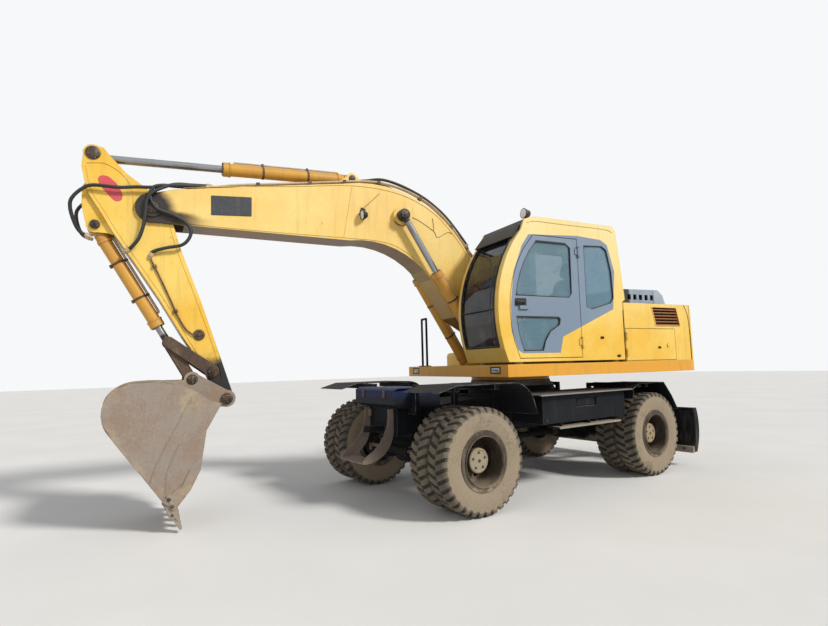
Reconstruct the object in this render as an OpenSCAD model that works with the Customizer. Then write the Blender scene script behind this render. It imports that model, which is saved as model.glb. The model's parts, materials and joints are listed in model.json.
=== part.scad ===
// Wheeled excavator on twin tyres, parked with its bucket on the ground.
// Lengths are in millimetres. X points forward along the chassis, Y to the left, Z up.
// The slewing centre is at x = 0, y = 0 of every module; whole() then moves the origin under
// the middle of the machine. The upper structure is drawn straight and turned by slew_rest.

/* [Wheels and axles] */
// Distance between the two axles
wheelbase = 2950; // [2700:10:3200]
// The front axle's distance ahead of the slewing centre
front_axle_x = 1625; // [1500:5:1750]
// Outer radius of a tyre, over its lugs
tyre_r = 520; // [495:1:540]
// Width of one tyre at its sidewalls
tyre_w = 265; // [240:1:275]
// Space between the two tyres of a pair
twin_gap = 30; // [20:1:50]
// Width of the machine over its outer tyres
wheels_w = 2500; // [2450:10:2600]
// Radius of the rim's flange
rim_r = 292; // [280:1:300]
// Radius of the tyre's seat on the rim
seat_r = 254; // [240:1:262]
// Radius of the round hub cap
hub_r = 120; // [100:1:140]
// Distance of the kingpins from the middle
kingpin_y = 590; // [570:1:600]

/* [Chassis] */
// Width of the chassis beam
beam_w = 640; // [560:10:660]
// Height of the beam's top above the ground
beam_top = 1010; // [980:5:1030]
// Height of the beam's belly above the ground
beam_low = 640; // [600:5:700]
// Radius of the turret under the slewing ring
turret_r = 560; // [520:5:600]
// Height of the slewing ring's foot above the ground
ring_z = 1180; // [1160:5:1200]
// Height of the fenders' tops
fender_z = 1262; // [1240:1:1270]
// Thickness of the fender plates
fender_t = 8; // [6:1:12]
// Height of the side boxes' tops
box_top = 1110; // [1080:5:1130]
// Height of the side boxes
box_h = 320; // [260:5:360]

/* [Blade] */
// Width of the dozer blade
blade_w = 2440; // [2300:10:2480]
// Height of the dozer blade
blade_h = 600; // [520:5:640]
// Height of the raised blade's lower edge
blade_z = 180; // [150:5:220]
// The blade's distance behind the slewing centre
blade_x = 2290; // [2250:5:2340]

/* [Upper structure] */
// Angle by which the upper structure stands turned, seen from above
slew_rest = -9; // [-15:1:0]
// Front edge of the deck ahead of the slewing centre
deck_front = 910; // [880:5:930]
// Tail behind the slewing centre
tail = 2180; // [2100:5:2250]
// Width of the deck
deck_w = 2440; // [2420:5:2460]
// Height of the deck's lower edge
deck_low = 1310; // [1305:1:1330]
// Height of the belt line above which the panels start
belt_z = 1445; // [1435:1:1470]
// Height of the engine hood
hood_z = 2165; // [2100:5:2220]
// Height of the raised cowl on the hood
cowl_h = 225; // [150:5:260]

/* [Cab] */
// Width of the cab
cab_w = 830; // [800:5:840]
// Outer face of the cab's left wall
cab_left = 1205; // [1195:1:1210]
// Height of the roof
roof_z = 3115; // [3050:5:3160]
// Rear face of the cab behind the slewing centre, at its foot
cab_rear = 890; // [860:5:900]
// Thickness of the cab's walls
cab_wall = 45; // [35:1:55]
// Thickness of the window glass
glass_t = 6; // [5:0.5:8]
// Width of the front posts seen from the side
post_w = 150; // [130:1:170]

/* [Boom and arm] */
// Foot pin ahead of the slewing centre
foot_x = 80; // [60:1:100]
// Height of the foot pin
foot_z = 1720; // [1700:1:1740]
// Length of the boom from pin to pin
boom_len = 4475; // [4400:5:4550]
// Angle of the boom above the level
boom_angle = 17.64; // [16:0.1:19]
// Width of the boom
boom_w = 340; // [320:2:344]
// Length of the arm from pin to pin
arm_len = 2028; // [1980:1:2060]
// Direction of the arm, from level
arm_angle = -110.64; // [-112:0.1:-109]
// Width of the arm
arm_w = 270; // [250:2:276]
// Distance of the boom cylinders from the middle
boom_cyl_y = 265; // [262:1:268]

/* [Bucket] */
// Direction of the bucket's tooth line, from level
bucket_angle = -69.8; // [-72:0.1:-68]
// Radius from the bucket pin to the tooth tips
bucket_r = 1228; // [1180:2:1240]
// Width of the bucket
bucket_w = 950; // [850:10:1000]
// Thickness of the bucket's plates
bucket_t = 20; // [16:1:25]
// Number of teeth
teeth = 5; // [4:1:6]

/* [Hidden] */
$fn = 48;

// Clearances: pin in its bore, moving piece beside a fixed one, and a seat on one body
fit = 0.5;
run = 5;
seat = 0.3;

// Colours
yellow = "#e8b32d";
slate = "#6d7f92";
black = "#26262a";
steel = "#c9ccd0";
rust = "#7a6a5c";

// The origin lies under the middle of the machine's box
origin_x = 1234;
origin_y = 85;

// Wheel places
rear_axle_x = front_axle_x - wheelbase;
wheel_y = wheels_w / 2;
pair_w = 2 * tyre_w + twin_gap;
hub_y = wheel_y - pair_w / 2;

// Ring heights
ring_h = 65;
ring_top = ring_z + ring_h;
ring_bore = 380;

// Pins of the working gear, as points [x, z] in the frame of the piece that carries them
foot = [foot_x, foot_z];
boom_cyl_base = [500, 1425];
boom_cyl_eye = [1953, 991];
arm_cyl_base = [2640, 1222];
arm_cyl_eye = [-643, 313];
bucket_cyl_base = [14, 526];
rocker_pin = [arm_len - 309, 27];
rod_pin = [arm_len - 726, 305];
ear_pin = [-76, 374];

function turn(p, a) = [p[0] * cos(a) - p[1] * sin(a), p[0] * sin(a) + p[1] * cos(a)];
function from_boom(p) = foot + turn(p, boom_angle);
tip = from_boom([boom_len, 0]);
function from_arm(p) = tip + turn(p, arm_angle);
bucket_pin = from_arm([arm_len, 0]);
function from_bucket(p) = bucket_pin + turn(p, bucket_angle);
function gap(p, q) = norm(q - p);
function heading(p, q) = atan2(q[1] - p[1], q[0] - p[0]);

// Centre of the circle through three points, and points along its arc
function centre(a, b, c) = let (
  d = 2 * (a[0] * (b[1] - c[1]) + b[0] * (c[1] - a[1]) + c[0] * (a[1] - b[1])),
  p = a * a, q = b * b, r = c * c)
  [(p * (b[1] - c[1]) + q * (c[1] - a[1]) + r * (a[1] - b[1])) / d,
   (p * (c[0] - b[0]) + q * (a[0] - c[0]) + r * (b[0] - a[0])) / d];
function arc(c, r, a0, a1, n = 8) =
  [for (i = [0:n]) let (a = a0 + (a1 - a0) * i / n) c + r * [cos(a), sin(a)]];
function through(a, b, c, n = 8) = let (
  m = centre(a, b, c), r = gap(m, a), s = heading(m, a),
  e = heading(m, c), t = heading(m, b),
  way = ((t - s + 720) % 360) < ((e - s + 720) % 360) ? (e - s + 720) % 360
    : (e - s + 720) % 360 - 360)
  arc(m, r, s, s + way, n);

// A side view drawn in x and z, from y = a to y = b
module slab(a, b) {
  translate([0, b, 0]) rotate([90, 0, 0]) linear_extrude(b - a) children();
}
// The same on both sides of the middle
module both(a, b) {
  slab(a, b) children();
  slab(-b, -a) children();
}
module disc(p, r) { translate(p) circle(r); }
// A round bar along y at the point p of a side view
module bar(p, r, a, b) { slab(a, b) disc(p, r); }
// A bar of radius r between two points
module rod(p, q, r) {
  d = q - p;
  translate(p) rotate([0, acos(d[2] / norm(d)), atan2(d[1], d[0])]) cylinder(r = r, h = norm(d));
}
// A bent tube through a list of points
module tube(path, r) {
  for (i = [0:len(path) - 2]) rod(path[i], path[i + 1], r);
  for (i = [1:len(path) - 2]) translate(path[i]) sphere(r, $fn = 16);
}
module box(low, high) { translate(low) cube(high - low); }
// The frame of a piece whose x axis runs from p in the direction a of the side view
module at(p, a) { translate([p[0], 0, p[1]]) rotate([0, -a, 0]) children(); }
module whole() { translate([-origin_x, -origin_y, 0]) children(); }
module upper() { whole() rotate([0, 0, slew_rest]) children(); }
module mirrored() {
  children();
  mirror([0, 1, 0]) children();
}

// A cylinder's barrel along x, from its base pin to its gland, bored for the rod
module barrel(length, r, rod_r, eye_r, eye_w, pin_r) {
  gland = 70;
  difference() {
    union() {
      translate([eye_r + 12, 0, 0]) rotate([0, 90, 0]) cylinder(r = r, h = length - eye_r - 12);
      box([0, -eye_w / 2, -eye_r * 0.7], [eye_r + 20, eye_w / 2, eye_r * 0.7]);
      translate([length - gland, 0, 0]) rotate([0, 90, 0]) cylinder(r = r + 8, h = gland);
      bar([0, 0], eye_r, -eye_w / 2, eye_w / 2);
    }
    translate([eye_r + 35, 0, 0]) rotate([0, 90, 0]) cylinder(r = rod_r + fit, h = length);
    bar([0, 0], pin_r + fit, -eye_w, eye_w);
  }
}
// A cylinder's rod along x, from inside the barrel to the eye that holds its own pin
module piston_rod(start, length, rod_r, eye_r, eye_w, pin_r, pin_w) {
  translate([start, 0, 0]) rotate([0, 90, 0]) cylinder(r = rod_r, h = length - start - eye_r * 0.6);
  bar([length, 0], eye_r, -eye_w / 2, eye_w / 2);
  bar([length, 0], pin_r, -pin_w / 2, pin_w / 2);
}

// Chassis beam, seen from the side, with its axle seats and turret
beam_front = front_axle_x + 400;
beam_rear = rear_axle_x - 455;
axle_top = 690;
// Tow lug: reach from the beam's nose, half width, bore, thickness and lower face
tow_reach = 165;
tow_r = 60;
tow_bore = 28;
tow_t = 60;
tow_z = axle_top + 60;
module chassis_frame() color(black) whole() {
  difference() {
    union() {
      slab(-beam_w / 2, beam_w / 2) polygon([[beam_rear, axle_top + 20], [beam_rear, 950],
        [rear_axle_x + 560, beam_top + 40], [front_axle_x - 620, beam_top + 40],
        [front_axle_x - 200, beam_top], [beam_front, beam_top], [beam_front, axle_top + 30],
        [front_axle_x - 520, axle_top + 30], [front_axle_x - 700, beam_low],
        [rear_axle_x + 680, beam_low], [rear_axle_x + 520, axle_top + 20]]);
      translate([0, 0, beam_low + 60]) cylinder(r = turret_r, h = ring_z - beam_low - 60);
      // Outriggers that carry the side boxes
      for (x = [-620, 540]) box([x, -700, box_top - 110], [x + 90, 700, box_top - 30]);
      // Tow lug on the nose, level, with room above its eye for the pin
      translate([0, 0, tow_z]) linear_extrude(tow_t) {
        translate([beam_front - 20, -tow_r]) square([tow_reach + 20, 2 * tow_r]);
        translate([beam_front + tow_reach, 0]) circle(r = tow_r);
      }
      // Blade brackets: an arm ear below and a cylinder ear above on each side
      both(blade_arm_y - 55, blade_arm_y - 28) blade_bracket();
      both(blade_arm_y + 28, blade_arm_y + 55) blade_bracket();
      both(blade_cyl_y - 50, blade_cyl_y - 31) cylinder_bracket();
      both(blade_cyl_y + 31, blade_cyl_y + 50) cylinder_bracket();
      mirrored() {
        bar(blade_hinge, 28, blade_arm_y - 65, blade_arm_y + 65);
        bar(blade_cyl_base, 22, blade_cyl_y - 58, blade_cyl_y + 58);
      }
      // Seats of the axles
      slab(-beam_w / 2 + 40, beam_w / 2 - 40) {
        translate([front_axle_x - 130, axle_top + seat]) square([260, 100]);
        translate([rear_axle_x - 130, axle_top + seat]) square([260, 100]);
      }
    }
    translate([0, 0, beam_top + 60]) cylinder(r = ring_bore, h = 400);
    translate([beam_front + tow_reach, 0, tow_z - 1]) cylinder(r = tow_bore, h = tow_t + 2);
  }
}
blade_arm_y = 250;
blade_cyl_y = 130;
blade_hinge = [beam_rear + 30, 585];
blade_cyl_base = [beam_rear - 80, 930];
module blade_bracket() {
  disc(blade_hinge, 55);
  polygon([blade_hinge + [-53, 0], blade_hinge + [53, 0], [beam_rear + 120, axle_top + 25],
    [beam_rear + 2, axle_top + 40]]);
}
module cylinder_bracket() {
  disc(blade_cyl_base, 45);
  polygon([blade_cyl_base + [-10, -44], [beam_rear + 10, 830], [beam_rear + 10, 948],
    blade_cyl_base + [0, 45]]);
}

// Fixed race of the slewing ring
module slew_ring() color(steel) whole() {
  translate([0, 0, ring_z]) difference() {
    union() {
      cylinder(r = turret_r - 10, h = ring_h * 0.45);
      cylinder(r = turret_r - 40, h = ring_h);
    }
    translate([0, 0, -1]) cylinder(r = ring_bore + 20, h = ring_h + 2);
  }
}

// Axle housing: a round middle, two tapered arms and what stands at its ends
module axle_beam(end_y) {
  rotate([90, 0, 0]) cylinder(r = 165, h = 260, center = true);
  mirrored() {
    translate([0, 130, 0]) rotate([-90, 0, 0]) cylinder(r1 = 165, r2 = 95, h = 120);
    translate([0, 250, 0]) rotate([-90, 0, 0]) cylinder(r = 95, h = end_y - 250);
  }
  translate([0, 0, 60]) box([-110, -150, 0], [110, 150, 110]);
}
yoke_h = 150;
module front_axle() color(black) whole() translate([front_axle_x, 0, tyre_r]) {
  difference() {
    union() {
      axle_beam(kingpin_y - 90);
      mirrored() for (s = [-1, 1])
        translate([0, 0, s > 0 ? yoke_h - 40 : -yoke_h]) {
          translate([0, kingpin_y, 0]) cylinder(r = 70, h = 40);
          box([-60, kingpin_y - 130, 0], [60, kingpin_y, 40]);
        }
      mirrored() box([-70, kingpin_y - 150, -yoke_h], [70, kingpin_y - 100, yoke_h]);
      // Steering cylinder before the beam, on two brackets
      translate([190, 0, 0]) rotate([90, 0, 0]) cylinder(r = 45, h = 420, center = true);
      for (y = [-120, 80]) box([80, y, -30], [190, y + 40, 30]);
    }
    mirrored() translate([0, kingpin_y, -yoke_h - 1]) cylinder(r = 30 + fit, h = 2 * yoke_h + 2);
    translate([190, 0, 0]) rotate([90, 0, 0]) cylinder(r = 22 + fit, h = 440, center = true);
  }
}
module rear_axle() color(black) whole() {
  translate([rear_axle_x, 0, tyre_r]) {
    axle_beam(hub_y - 150);
    mirrored() translate([0, hub_y - 245, 0]) rotate([-90, 0, 0]) cylinder(r = 200, h = 150);
    mirrored() translate([0, hub_y - 160, 0]) rotate([-90, 0, 0]) cylinder(r = spindle_r, h = 190);
  }
  // Gearbox on the axle's nose and the shaft to the front axle
  box([rear_axle_x + 110, -130, tyre_r - 110], [rear_axle_x + 430, 130, beam_low - 2]);
  translate([rear_axle_x + 420, 0, tyre_r - 20]) rotate([0, 90, 0])
    cylinder(r = 38, h = front_axle_x - 165 - rear_axle_x - 420);
}
// Steering knuckle between the yokes, with its spindle in the rim and its arm ahead
module knuckle(side) translate([front_axle_x, side * kingpin_y, tyre_r])
  mirror([0, side < 0 ? 1 : 0, 0]) {
  cylinder(r = 30, h = 2 * yoke_h + 12, center = true);
  cylinder(r = 68, h = 2 * (yoke_h - 40) - 2 * run, center = true);
  rotate([-90, 0, 0]) cylinder(r = 95, h = 110);
  translate([0, 110, 0]) rotate([-90, 0, 0]) cylinder(r = 200, h = hub_y - kingpin_y - 205);
  rotate([-90, 0, 0]) cylinder(r = spindle_r, h = hub_y - kingpin_y + 30);
  translate([0, 0, -90]) box([0, -20, 0], [190, 20, 26]);
  translate([190, 0, -90]) cylinder(r = 32, h = 26);
}
module knuckle_left() color(rust) whole() knuckle(1);
module knuckle_right() color(rust) whole() knuckle(-1);
// Steering rod through the cylinder, with a flat end over each steering arm
module steer_rod() color(steel) whole() translate([front_axle_x + 190, 0, tyre_r]) {
  rotate([90, 0, 0]) cylinder(r = 22, h = 2 * kingpin_y - 60, center = true);
  mirrored() {
    translate([0, kingpin_y, -61]) cylinder(r = 28, h = 73);
    box([-24, kingpin_y - 40, -20], [24, kingpin_y, 20]);
  }
}

// Tyre section as [radius, half width]: bead, sidewall, shoulder and crown
tyre_section = [[seat_r + seat, tyre_w / 2 - 28 - seat], [rim_r + seat, tyre_w / 2 - 28 - seat],
  [rim_r + 6, tyre_w / 2 - 15], [345, tyre_w / 2 - 4], [400, tyre_w / 2], [455, tyre_w / 2 - 3],
  [tyre_r - 26, tyre_w / 2 - 12], [tyre_r - 14, tyre_w / 2 - 24]];
function flip(list) = [for (i = [len(list) - 1:-1:0]) [list[i][0], -list[i][1]]];
module tyre() {
  rotate([90, 0, 0]) rotate_extrude($fn = 72) polygon(concat(tyre_section, flip(tyre_section)));
  // Crown band under the tread, out to the lugs' tips in the middle of the tyre
  rotate([90, 0, 0]) cylinder(r = tyre_r, h = tyre_w * 0.62, center = true, $fn = 72);
}
module tyre_pair(x, side) whole() translate([x, side * hub_y, tyre_r])
  for (s = [-1, 1]) translate([0, s * (tyre_w + twin_gap) / 2, 0]) difference() {
    tyre();
    rotate([90, 0, 0]) cylinder(r = seat_r + seat, h = tyre_w + 10, center = true, $fn = 72);
  }
module tyres_front_left() color(black) tyre_pair(front_axle_x, 1);
module tyres_front_right() color(black) tyre_pair(front_axle_x, -1);
module tyres_rear_left() color(black) tyre_pair(rear_axle_x, 1);
module tyres_rear_right() color(black) tyre_pair(rear_axle_x, -1);

// Twin rim as one turned piece: a long seat, four flanges, a deep disc, hub and cap
disc_t = 28;
cap_depth = 100;
module rim(side) rotate([side > 0 ? -90 : 90, 0, 0]) {
  half = pair_w / 2;
  flange = 12;
  difference() {
    union() {
      translate([0, 0, -half + 16]) cylinder(r = seat_r, h = pair_w - 32, $fn = 72);
      for (z = [-half + 16, -twin_gap / 2 - 28, twin_gap / 2 + 16, half - 28])
        translate([0, 0, z]) cylinder(r = rim_r, h = flange, $fn = 72);
    }
    translate([0, 0, disc_t / 2]) cylinder(r = seat_r - 12, h = half, $fn = 72);
    translate([0, 0, -half]) cylinder(r = seat_r - 12, h = half - disc_t / 2, $fn = 72);
    cylinder(r = 100, h = pair_w, center = true);
    for (a = [0:60:300]) rotate([0, 0, a]) translate([190, 0, 0])
      cylinder(r = 26, h = 2 * disc_t, center = true);
  }
  // Hub through the disc, stepped down to the cap
  difference() {
    union() {
      translate([0, 0, -90]) cylinder(r = 150, h = 90 - disc_t / 2);
      translate([0, 0, -disc_t / 2]) cylinder(r = 100, h = disc_t);
      translate([0, 0, disc_t / 2]) cylinder(r = 145, h = 40);
      translate([0, 0, disc_t / 2]) cylinder(r = hub_r, h = half - cap_depth - disc_t / 2);
    }
    translate([0, 0, -91]) cylinder(r = spindle_r + fit, h = 131);
  }
}
spindle_r = 60;
module rims(x, side) whole() translate([x, side * hub_y, tyre_r]) rim(side);
module rims_front_left() color(rust) rims(front_axle_x, 1);
module rims_front_right() color(rust) rims(front_axle_x, -1);
module rims_rear_left() color(rust) rims(rear_axle_x, 1);
module rims_rear_right() color(rust) rims(rear_axle_x, -1);

// Fenders: a bent plate over each pair of wheels, held by two stays from the beam
front_arch = concat([[front_axle_x - 765, 920]],
  through([front_axle_x - 725, 1040], [front_axle_x - 640, 1180], [front_axle_x - 440, fender_z], 6),
  [[front_axle_x + 330, fender_z], [front_axle_x + 545, fender_z - 60]]);
rear_arch = [[rear_axle_x + 470, 985], [rear_axle_x + 455, 1110], [rear_axle_x + 300, 1172],
  [rear_axle_x - 240, 1168], [rear_axle_x - 410, 985], [rear_axle_x - 540, 800]];
// The same line moved down by t, closed with the upper one to a bent plate
module plate_line(line, t) {
  polygon(concat(line, [for (i = [len(line) - 1:-1:0]) let (
    a = line[max(i - 1, 0)], b = line[min(i + 1, len(line) - 1)], h = heading(a, b))
    line[i] + t * [sin(h), -cos(h)]]));
}
module fenders() color(black) whole() mirrored() {
  slab(wheel_y - pair_w - 30, wheel_y) {
    plate_line(front_arch, fender_t);
    plate_line([for (i = [len(rear_arch) - 1:-1:0]) rear_arch[i]], fender_t);
  }
  // Stays: out from the beam, up beside the toolbox and along under the plate
  side = beam_w / 2 + seat;
  for (x = [front_axle_x - 330, front_axle_x + 200]) {
    box([x, side, beam_top - 70], [x + 60, 470, beam_top - 12]);
    box([x, 410, beam_top - 70], [x + 60, 470, fender_z - fender_t]);
    box([x, 410, fender_z - fender_t - 60], [x + 60, wheel_y - 120, fender_z - fender_t]);
  }
  for (x = [rear_axle_x - 60, rear_axle_x + 100]) {
    box([x, side, 880], [x + 50, side + 50, 1170 - fender_t]);
    box([x, side, 1170 - fender_t - 50], [x + 50, wheel_y - 120, 1170 - fender_t]);
  }
}

// Boxes between the wheels, with a tread plate on top and a step bar below
module side_boxes() color(black) whole() mirrored() {
  difference() {
    box([-790, 700 + seat, box_top - box_h], [700, 1170, box_top - 12]);
    box([-240, 1150, box_top - 165], [140, 1180, box_top - 65]);
  }
  box([-860, 620, box_top - 12], [803, wheel_y - 30, box_top]);
  for (x = [-560, -60, 430]) box([x, 1000, box_top - box_h - 60], [x + 12, 1200, box_top - box_h]);
  box([-620, 1090, box_top - box_h - 60], [494, wheel_y - 30, box_top - box_h - 42]);
}

// U-shaped front step: two crescent plates and a tread between them
step_half = 250;
module front_step() color(black) whole() {
  face = beam_front + seat;
  both(step_half - 8, step_half) polygon(concat([[face, 1000]],
    through([face, 760], [face + 90, 560], [face + 380, 455], 8), [[face + 390, 480]],
    through([face + 330, 540], [face + 150, 690], [face + 70, 1000], 6)));
  slab(-step_half + 8, step_half - 8) polygon([[face + 230, 478], [face + 385, 458],
    [face + 388, 470], [face + 232, 490]]);
  both(step_half - 40, step_half - 8)
    polygon([[face, 900], [face + 20, 900], [face + 20, 980], [face, 980]]);
}

// Toolbox on the nose of the beam
module front_toolbox() color("#2b3f66") whole() {
  low = beam_top + seat;
  difference() {
    slab(-400, 400) polygon([[front_axle_x - 120, low], [front_axle_x - 120, 1175],
      [front_axle_x - 60, 1215], [front_axle_x + 440, 1225], [front_axle_x + 500, 1200],
      [front_axle_x + 500, low + 40], [front_axle_x + 400, low]]);
    slab(-385, 385) polygon([[front_axle_x - 105, low + 60], [front_axle_x - 105, 1160],
      [front_axle_x + 485, 1160], [front_axle_x + 485, low + 60]]);
  }
}

// Dozer blade: a bent board with end plates, two arms and the cylinders' ears
board_low = [-blade_x + 40, blade_z];
board_top = [-blade_x - 10, blade_z + blade_h];
blade_cyl_eye = [-blade_x + 110, 470];
module blade() color(black) whole() {
  board = through(board_low, [-blade_x - 50, blade_z + blade_h / 2], board_top, 8);
  slab(-blade_w / 2, blade_w / 2) polygon(concat(board,
    [for (i = [8:-1:0]) board[i] + [-25, 0]]));
  both(blade_w / 2 - 15, blade_w / 2) polygon(concat(board, [for (i = [8:-1:0]) board[i] + [-90, 0]]));
  slab(-blade_w / 2 + 15, blade_w / 2 - 15) {
    translate([-blade_x - 75, blade_z + blade_h - 55]) square([55, 55]);
    translate([-blade_x - 45, blade_z]) square([62, 40]);
  }
  difference() {
    both(blade_arm_y - 25, blade_arm_y + 25) {
      disc(blade_hinge, 50);
      polygon([blade_hinge + [-10, 48], blade_hinge + [10, -48], [-blade_x - 40, 300],
        [-blade_x - 60, 560], [-blade_x + 120, 590]]);
    }
    bar(blade_hinge, 28 + fit, -400, 400);
  }
  slab(-blade_arm_y, blade_arm_y) disc([-blade_x + 30, 390], 45);
  // Plain ears beside the cylinder eyes
  both(blade_cyl_y - 50, blade_cyl_y - 30) blade_ear();
  both(blade_cyl_y + 30, blade_cyl_y + 50) blade_ear();
}
module blade_ear() {
  disc(blade_cyl_eye, 42);
  polygon([[-blade_x - 60, 400], [-blade_x - 60, 560], blade_cyl_eye + [0, 42],
    blade_cyl_eye + [0, -42]]);
}
blade_rest = gap(blade_cyl_base, blade_cyl_eye);
module blade_cylinders(part) whole() at(blade_cyl_base, heading(blade_cyl_base, blade_cyl_eye))
  for (s = [-1, 1]) translate([0, s * blade_cyl_y, 0])
    if (part == "barrel") barrel(400, 48, 26, 42, 56, 22);
    else piston_rod(160, blade_rest, 26, 38, 54, 20, 58);
module blade_barrels() color(black) blade_cylinders("barrel");
module blade_rods() color(steel) blade_cylinders("rod");

// Plan of the deck, with rounded tail corners
module deck_plan(inset = 0, front = deck_front, rear = -tail) {
  w = deck_w / 2 - inset;
  r = 190;
  polygon(concat([[front - inset, -w], [front - inset, w]],
    arc([rear + r + inset, w - r], r, 90, 165, 5), arc([rear + r + inset, -w + r], r, 195, 270, 5)));
}
cheek_y = 176;
cheek_t = 22;
module upper_frame() color(yellow) upper() {
  // Flange on the turning race
  translate([0, 0, ring_top + run]) difference() {
    cylinder(r = turret_r - 50, h = deck_low - ring_top - run);
    translate([0, 0, -1]) cylinder(r = ring_bore - 40, h = 200);
  }
  // Inner race that turns in the ring
  difference() {
    translate([0, 0, ring_z + 12]) cylinder(r = ring_bore + 20 - fit, h = ring_h);
    translate([0, 0, ring_z]) cylinder(r = ring_bore - 40, h = 200);
  }
  // Deck plate on the right
  box([-840, -deck_w / 2 + 30, belt_z - 10], [deck_front - 30, -345, belt_z]);
  // Floor plate and the skirt around it, open at the tail where the counterweight sits
  difference() {
    translate([0, 0, deck_low]) linear_extrude(belt_z - deck_low) deck_plan();
    translate([0, 0, deck_low + 20]) linear_extrude(200) deck_plan(40);
    translate([0, 0, deck_low - 1]) cylinder(r = ring_bore, h = 60);
    box([-tail - 10, -deck_w, deck_low - 1], [-weight_front, deck_w, belt_z + 1]);
    for (s = [-1, 1]) box([deck_front - 30, s * lamp_y - 100, deck_low + 35],
      [deck_front + 1, s * lamp_y + 100, belt_z - 22]);
  }
  // Cheeks that carry the boom's foot and the boom cylinders
  both(cheek_y, cheek_y + cheek_t) {
    disc(foot, 115);
    disc(boom_cyl_base, 75);
    polygon([[-800, deck_low + 10], [-800, belt_z + 60], [-600, belt_z + 90],
      foot + turn([115, 0], 125), foot + turn([115, 0], 35), boom_cyl_base + [75, 0],
      [boom_cyl_base[0] + 75, deck_low + 10]]);
  }
  both(boom_cyl_y + 44, boom_cyl_y + 64) {
    disc(boom_cyl_base, 75);
    polygon([[boom_cyl_base[0] - 110, deck_low + 10], boom_cyl_base + [-75, 0],
      boom_cyl_base + [75, 0], [boom_cyl_base[0] + 110, deck_low + 10]]);
  }
  bar(foot, 45, -cheek_y - cheek_t - 12, cheek_y + cheek_t + 12);
  mirrored() bar(boom_cyl_base, 35, cheek_y, boom_cyl_y + 74);
}
weight_front = 1780;
lamp_y = 985;
// Counterweight: a cast block across the tail with rounded corners
module counterweight() color(yellow) upper() {
  intersection() {
    translate([0, 0, deck_low]) linear_extrude(hood_z - deck_low) deck_plan(0, -weight_front);
    slab(-deck_w / 2, deck_w / 2) polygon(concat([[-weight_front - seat, deck_low],
      [-weight_front - seat, belt_z - seat], [house_rear - seat, belt_z - seat],
      [house_rear - seat, hood_z]],
      through([-2050, hood_z], [-2135, 1950], [-tail, 1640], 6), [[-tail, deck_low + 70],
      [-tail + 70, deck_low]]));
  }
}

// Engine housing: side walls with doors and a louvre, roof with its opening, open below
house_front = -852;
house_rear = -2034;
wall = 30;
door_z = [belt_z + 8, 1850];
module engine_housing() color(yellow) upper() {
  difference() {
    box([house_rear, -deck_w / 2 + 10, belt_z + seat], [house_front, deck_w / 2 - 10, hood_z]);
    box([house_rear + wall, -deck_w / 2 + 10 + wall, belt_z - 1],
      [house_front - wall, deck_w / 2 - 10 - wall, hood_z - wall]);
    // Roof opening under the cowl
    box([cowl_rear + 60, -cowl_half + 60, hood_z - wall - 1], [cowl_front - 60, cowl_half - 60, hood_z + 1]);
    mirrored() {
      slab(deck_w / 2 - 10 - wall - 1, deck_w / 2) side_door_outline(0);
      slab(deck_w / 2 - 10 - wall - 1, deck_w / 2) louvre_outline();
    }
  }
  // Pins of the side doors and of the cowl
  mirrored() for (z = side_hinges) translate([-866, deck_w / 2 + 3, z]) {
    hinge_pin(60, 11);
    for (h = [-18, 63]) box([3, -15, h], [13, 0, h + 15]);
  }
  for (y = [-500, 440]) translate([cowl_front + 14, y, hood_z + 16]) {
    rotate([-90, 0, 0]) hinge_pin(60, 11);
    for (h = [-18, 63]) box([-11, h, -17], [11, h + 15, 0]);
  }
  // Slats of the louvres
  mirrored() for (i = [0:5]) translate([0, 0, 1893 + i * 38])
    slab(deck_w / 2 - 10 - wall, deck_w / 2 - 12)
    polygon([[-1840 + i * 9, 0], [-1840 + i * 9, 14], [-1400 + i * 12, 14], [-1400 + i * 12, 0]]);
}
module louvre_outline() {
  polygon([[-1405, 1890], [-1340, 2118], [-1782, 2118], [-1836, 1890]]);
}
module side_door_outline(e) {
  polygon([[-1740 + e, door_z[0] + e], [-860 - e, door_z[0] + e], [-860 - e, door_z[1] - e],
    [-1740 + e, door_z[1] - e]]);
}
// A hinge's knuckle, bored for its pin, and the pin with a lug at each end on the other side
module hinge_eye(h, r) difference() {
  cylinder(r = r, h = h);
  translate([0, 0, -1]) cylinder(r = r / 2 + fit, h = h + 2);
}
module hinge_pin(h, r) {
  translate([0, 0, -18]) cylinder(r = r / 2, h = h + 36);
  for (z = [-18, h + 3]) translate([0, 0, z]) cylinder(r = r, h = 15);
}
side_hinges = [door_z[0] + 70, door_z[1] - 130];
module side_door(side) mirror([0, side < 0 ? 1 : 0, 0]) {
  face = deck_w / 2 - 10;
  slab(face - wall, face) side_door_outline(5);
  // Hinge knuckles in front of the leading edge, and a latch
  for (z = side_hinges) {
    translate([-866, face + 13, z]) hinge_eye(60, 11);
    box([-900, face - 1, z + 10], [-875, face + 12, z + 50]);
  }
  slab(face, face + 10) disc([-1600, 1640], 24);
}
module side_door_left() color(yellow) upper() side_door(1);
module side_door_right() color(yellow) upper() side_door(-1);
module engine_block() color(rust) upper() {
  box([-1700, -480, belt_z - 60], [-1150, 520, belt_z + 420]);
  for (y = [-380, 360]) box([-1640, y, deck_low + 20 + seat], [-1210, y + 60, belt_z - 60]);
}
cowl_front = -1150;
cowl_rear = -2000;
cowl_half = 900;
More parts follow.
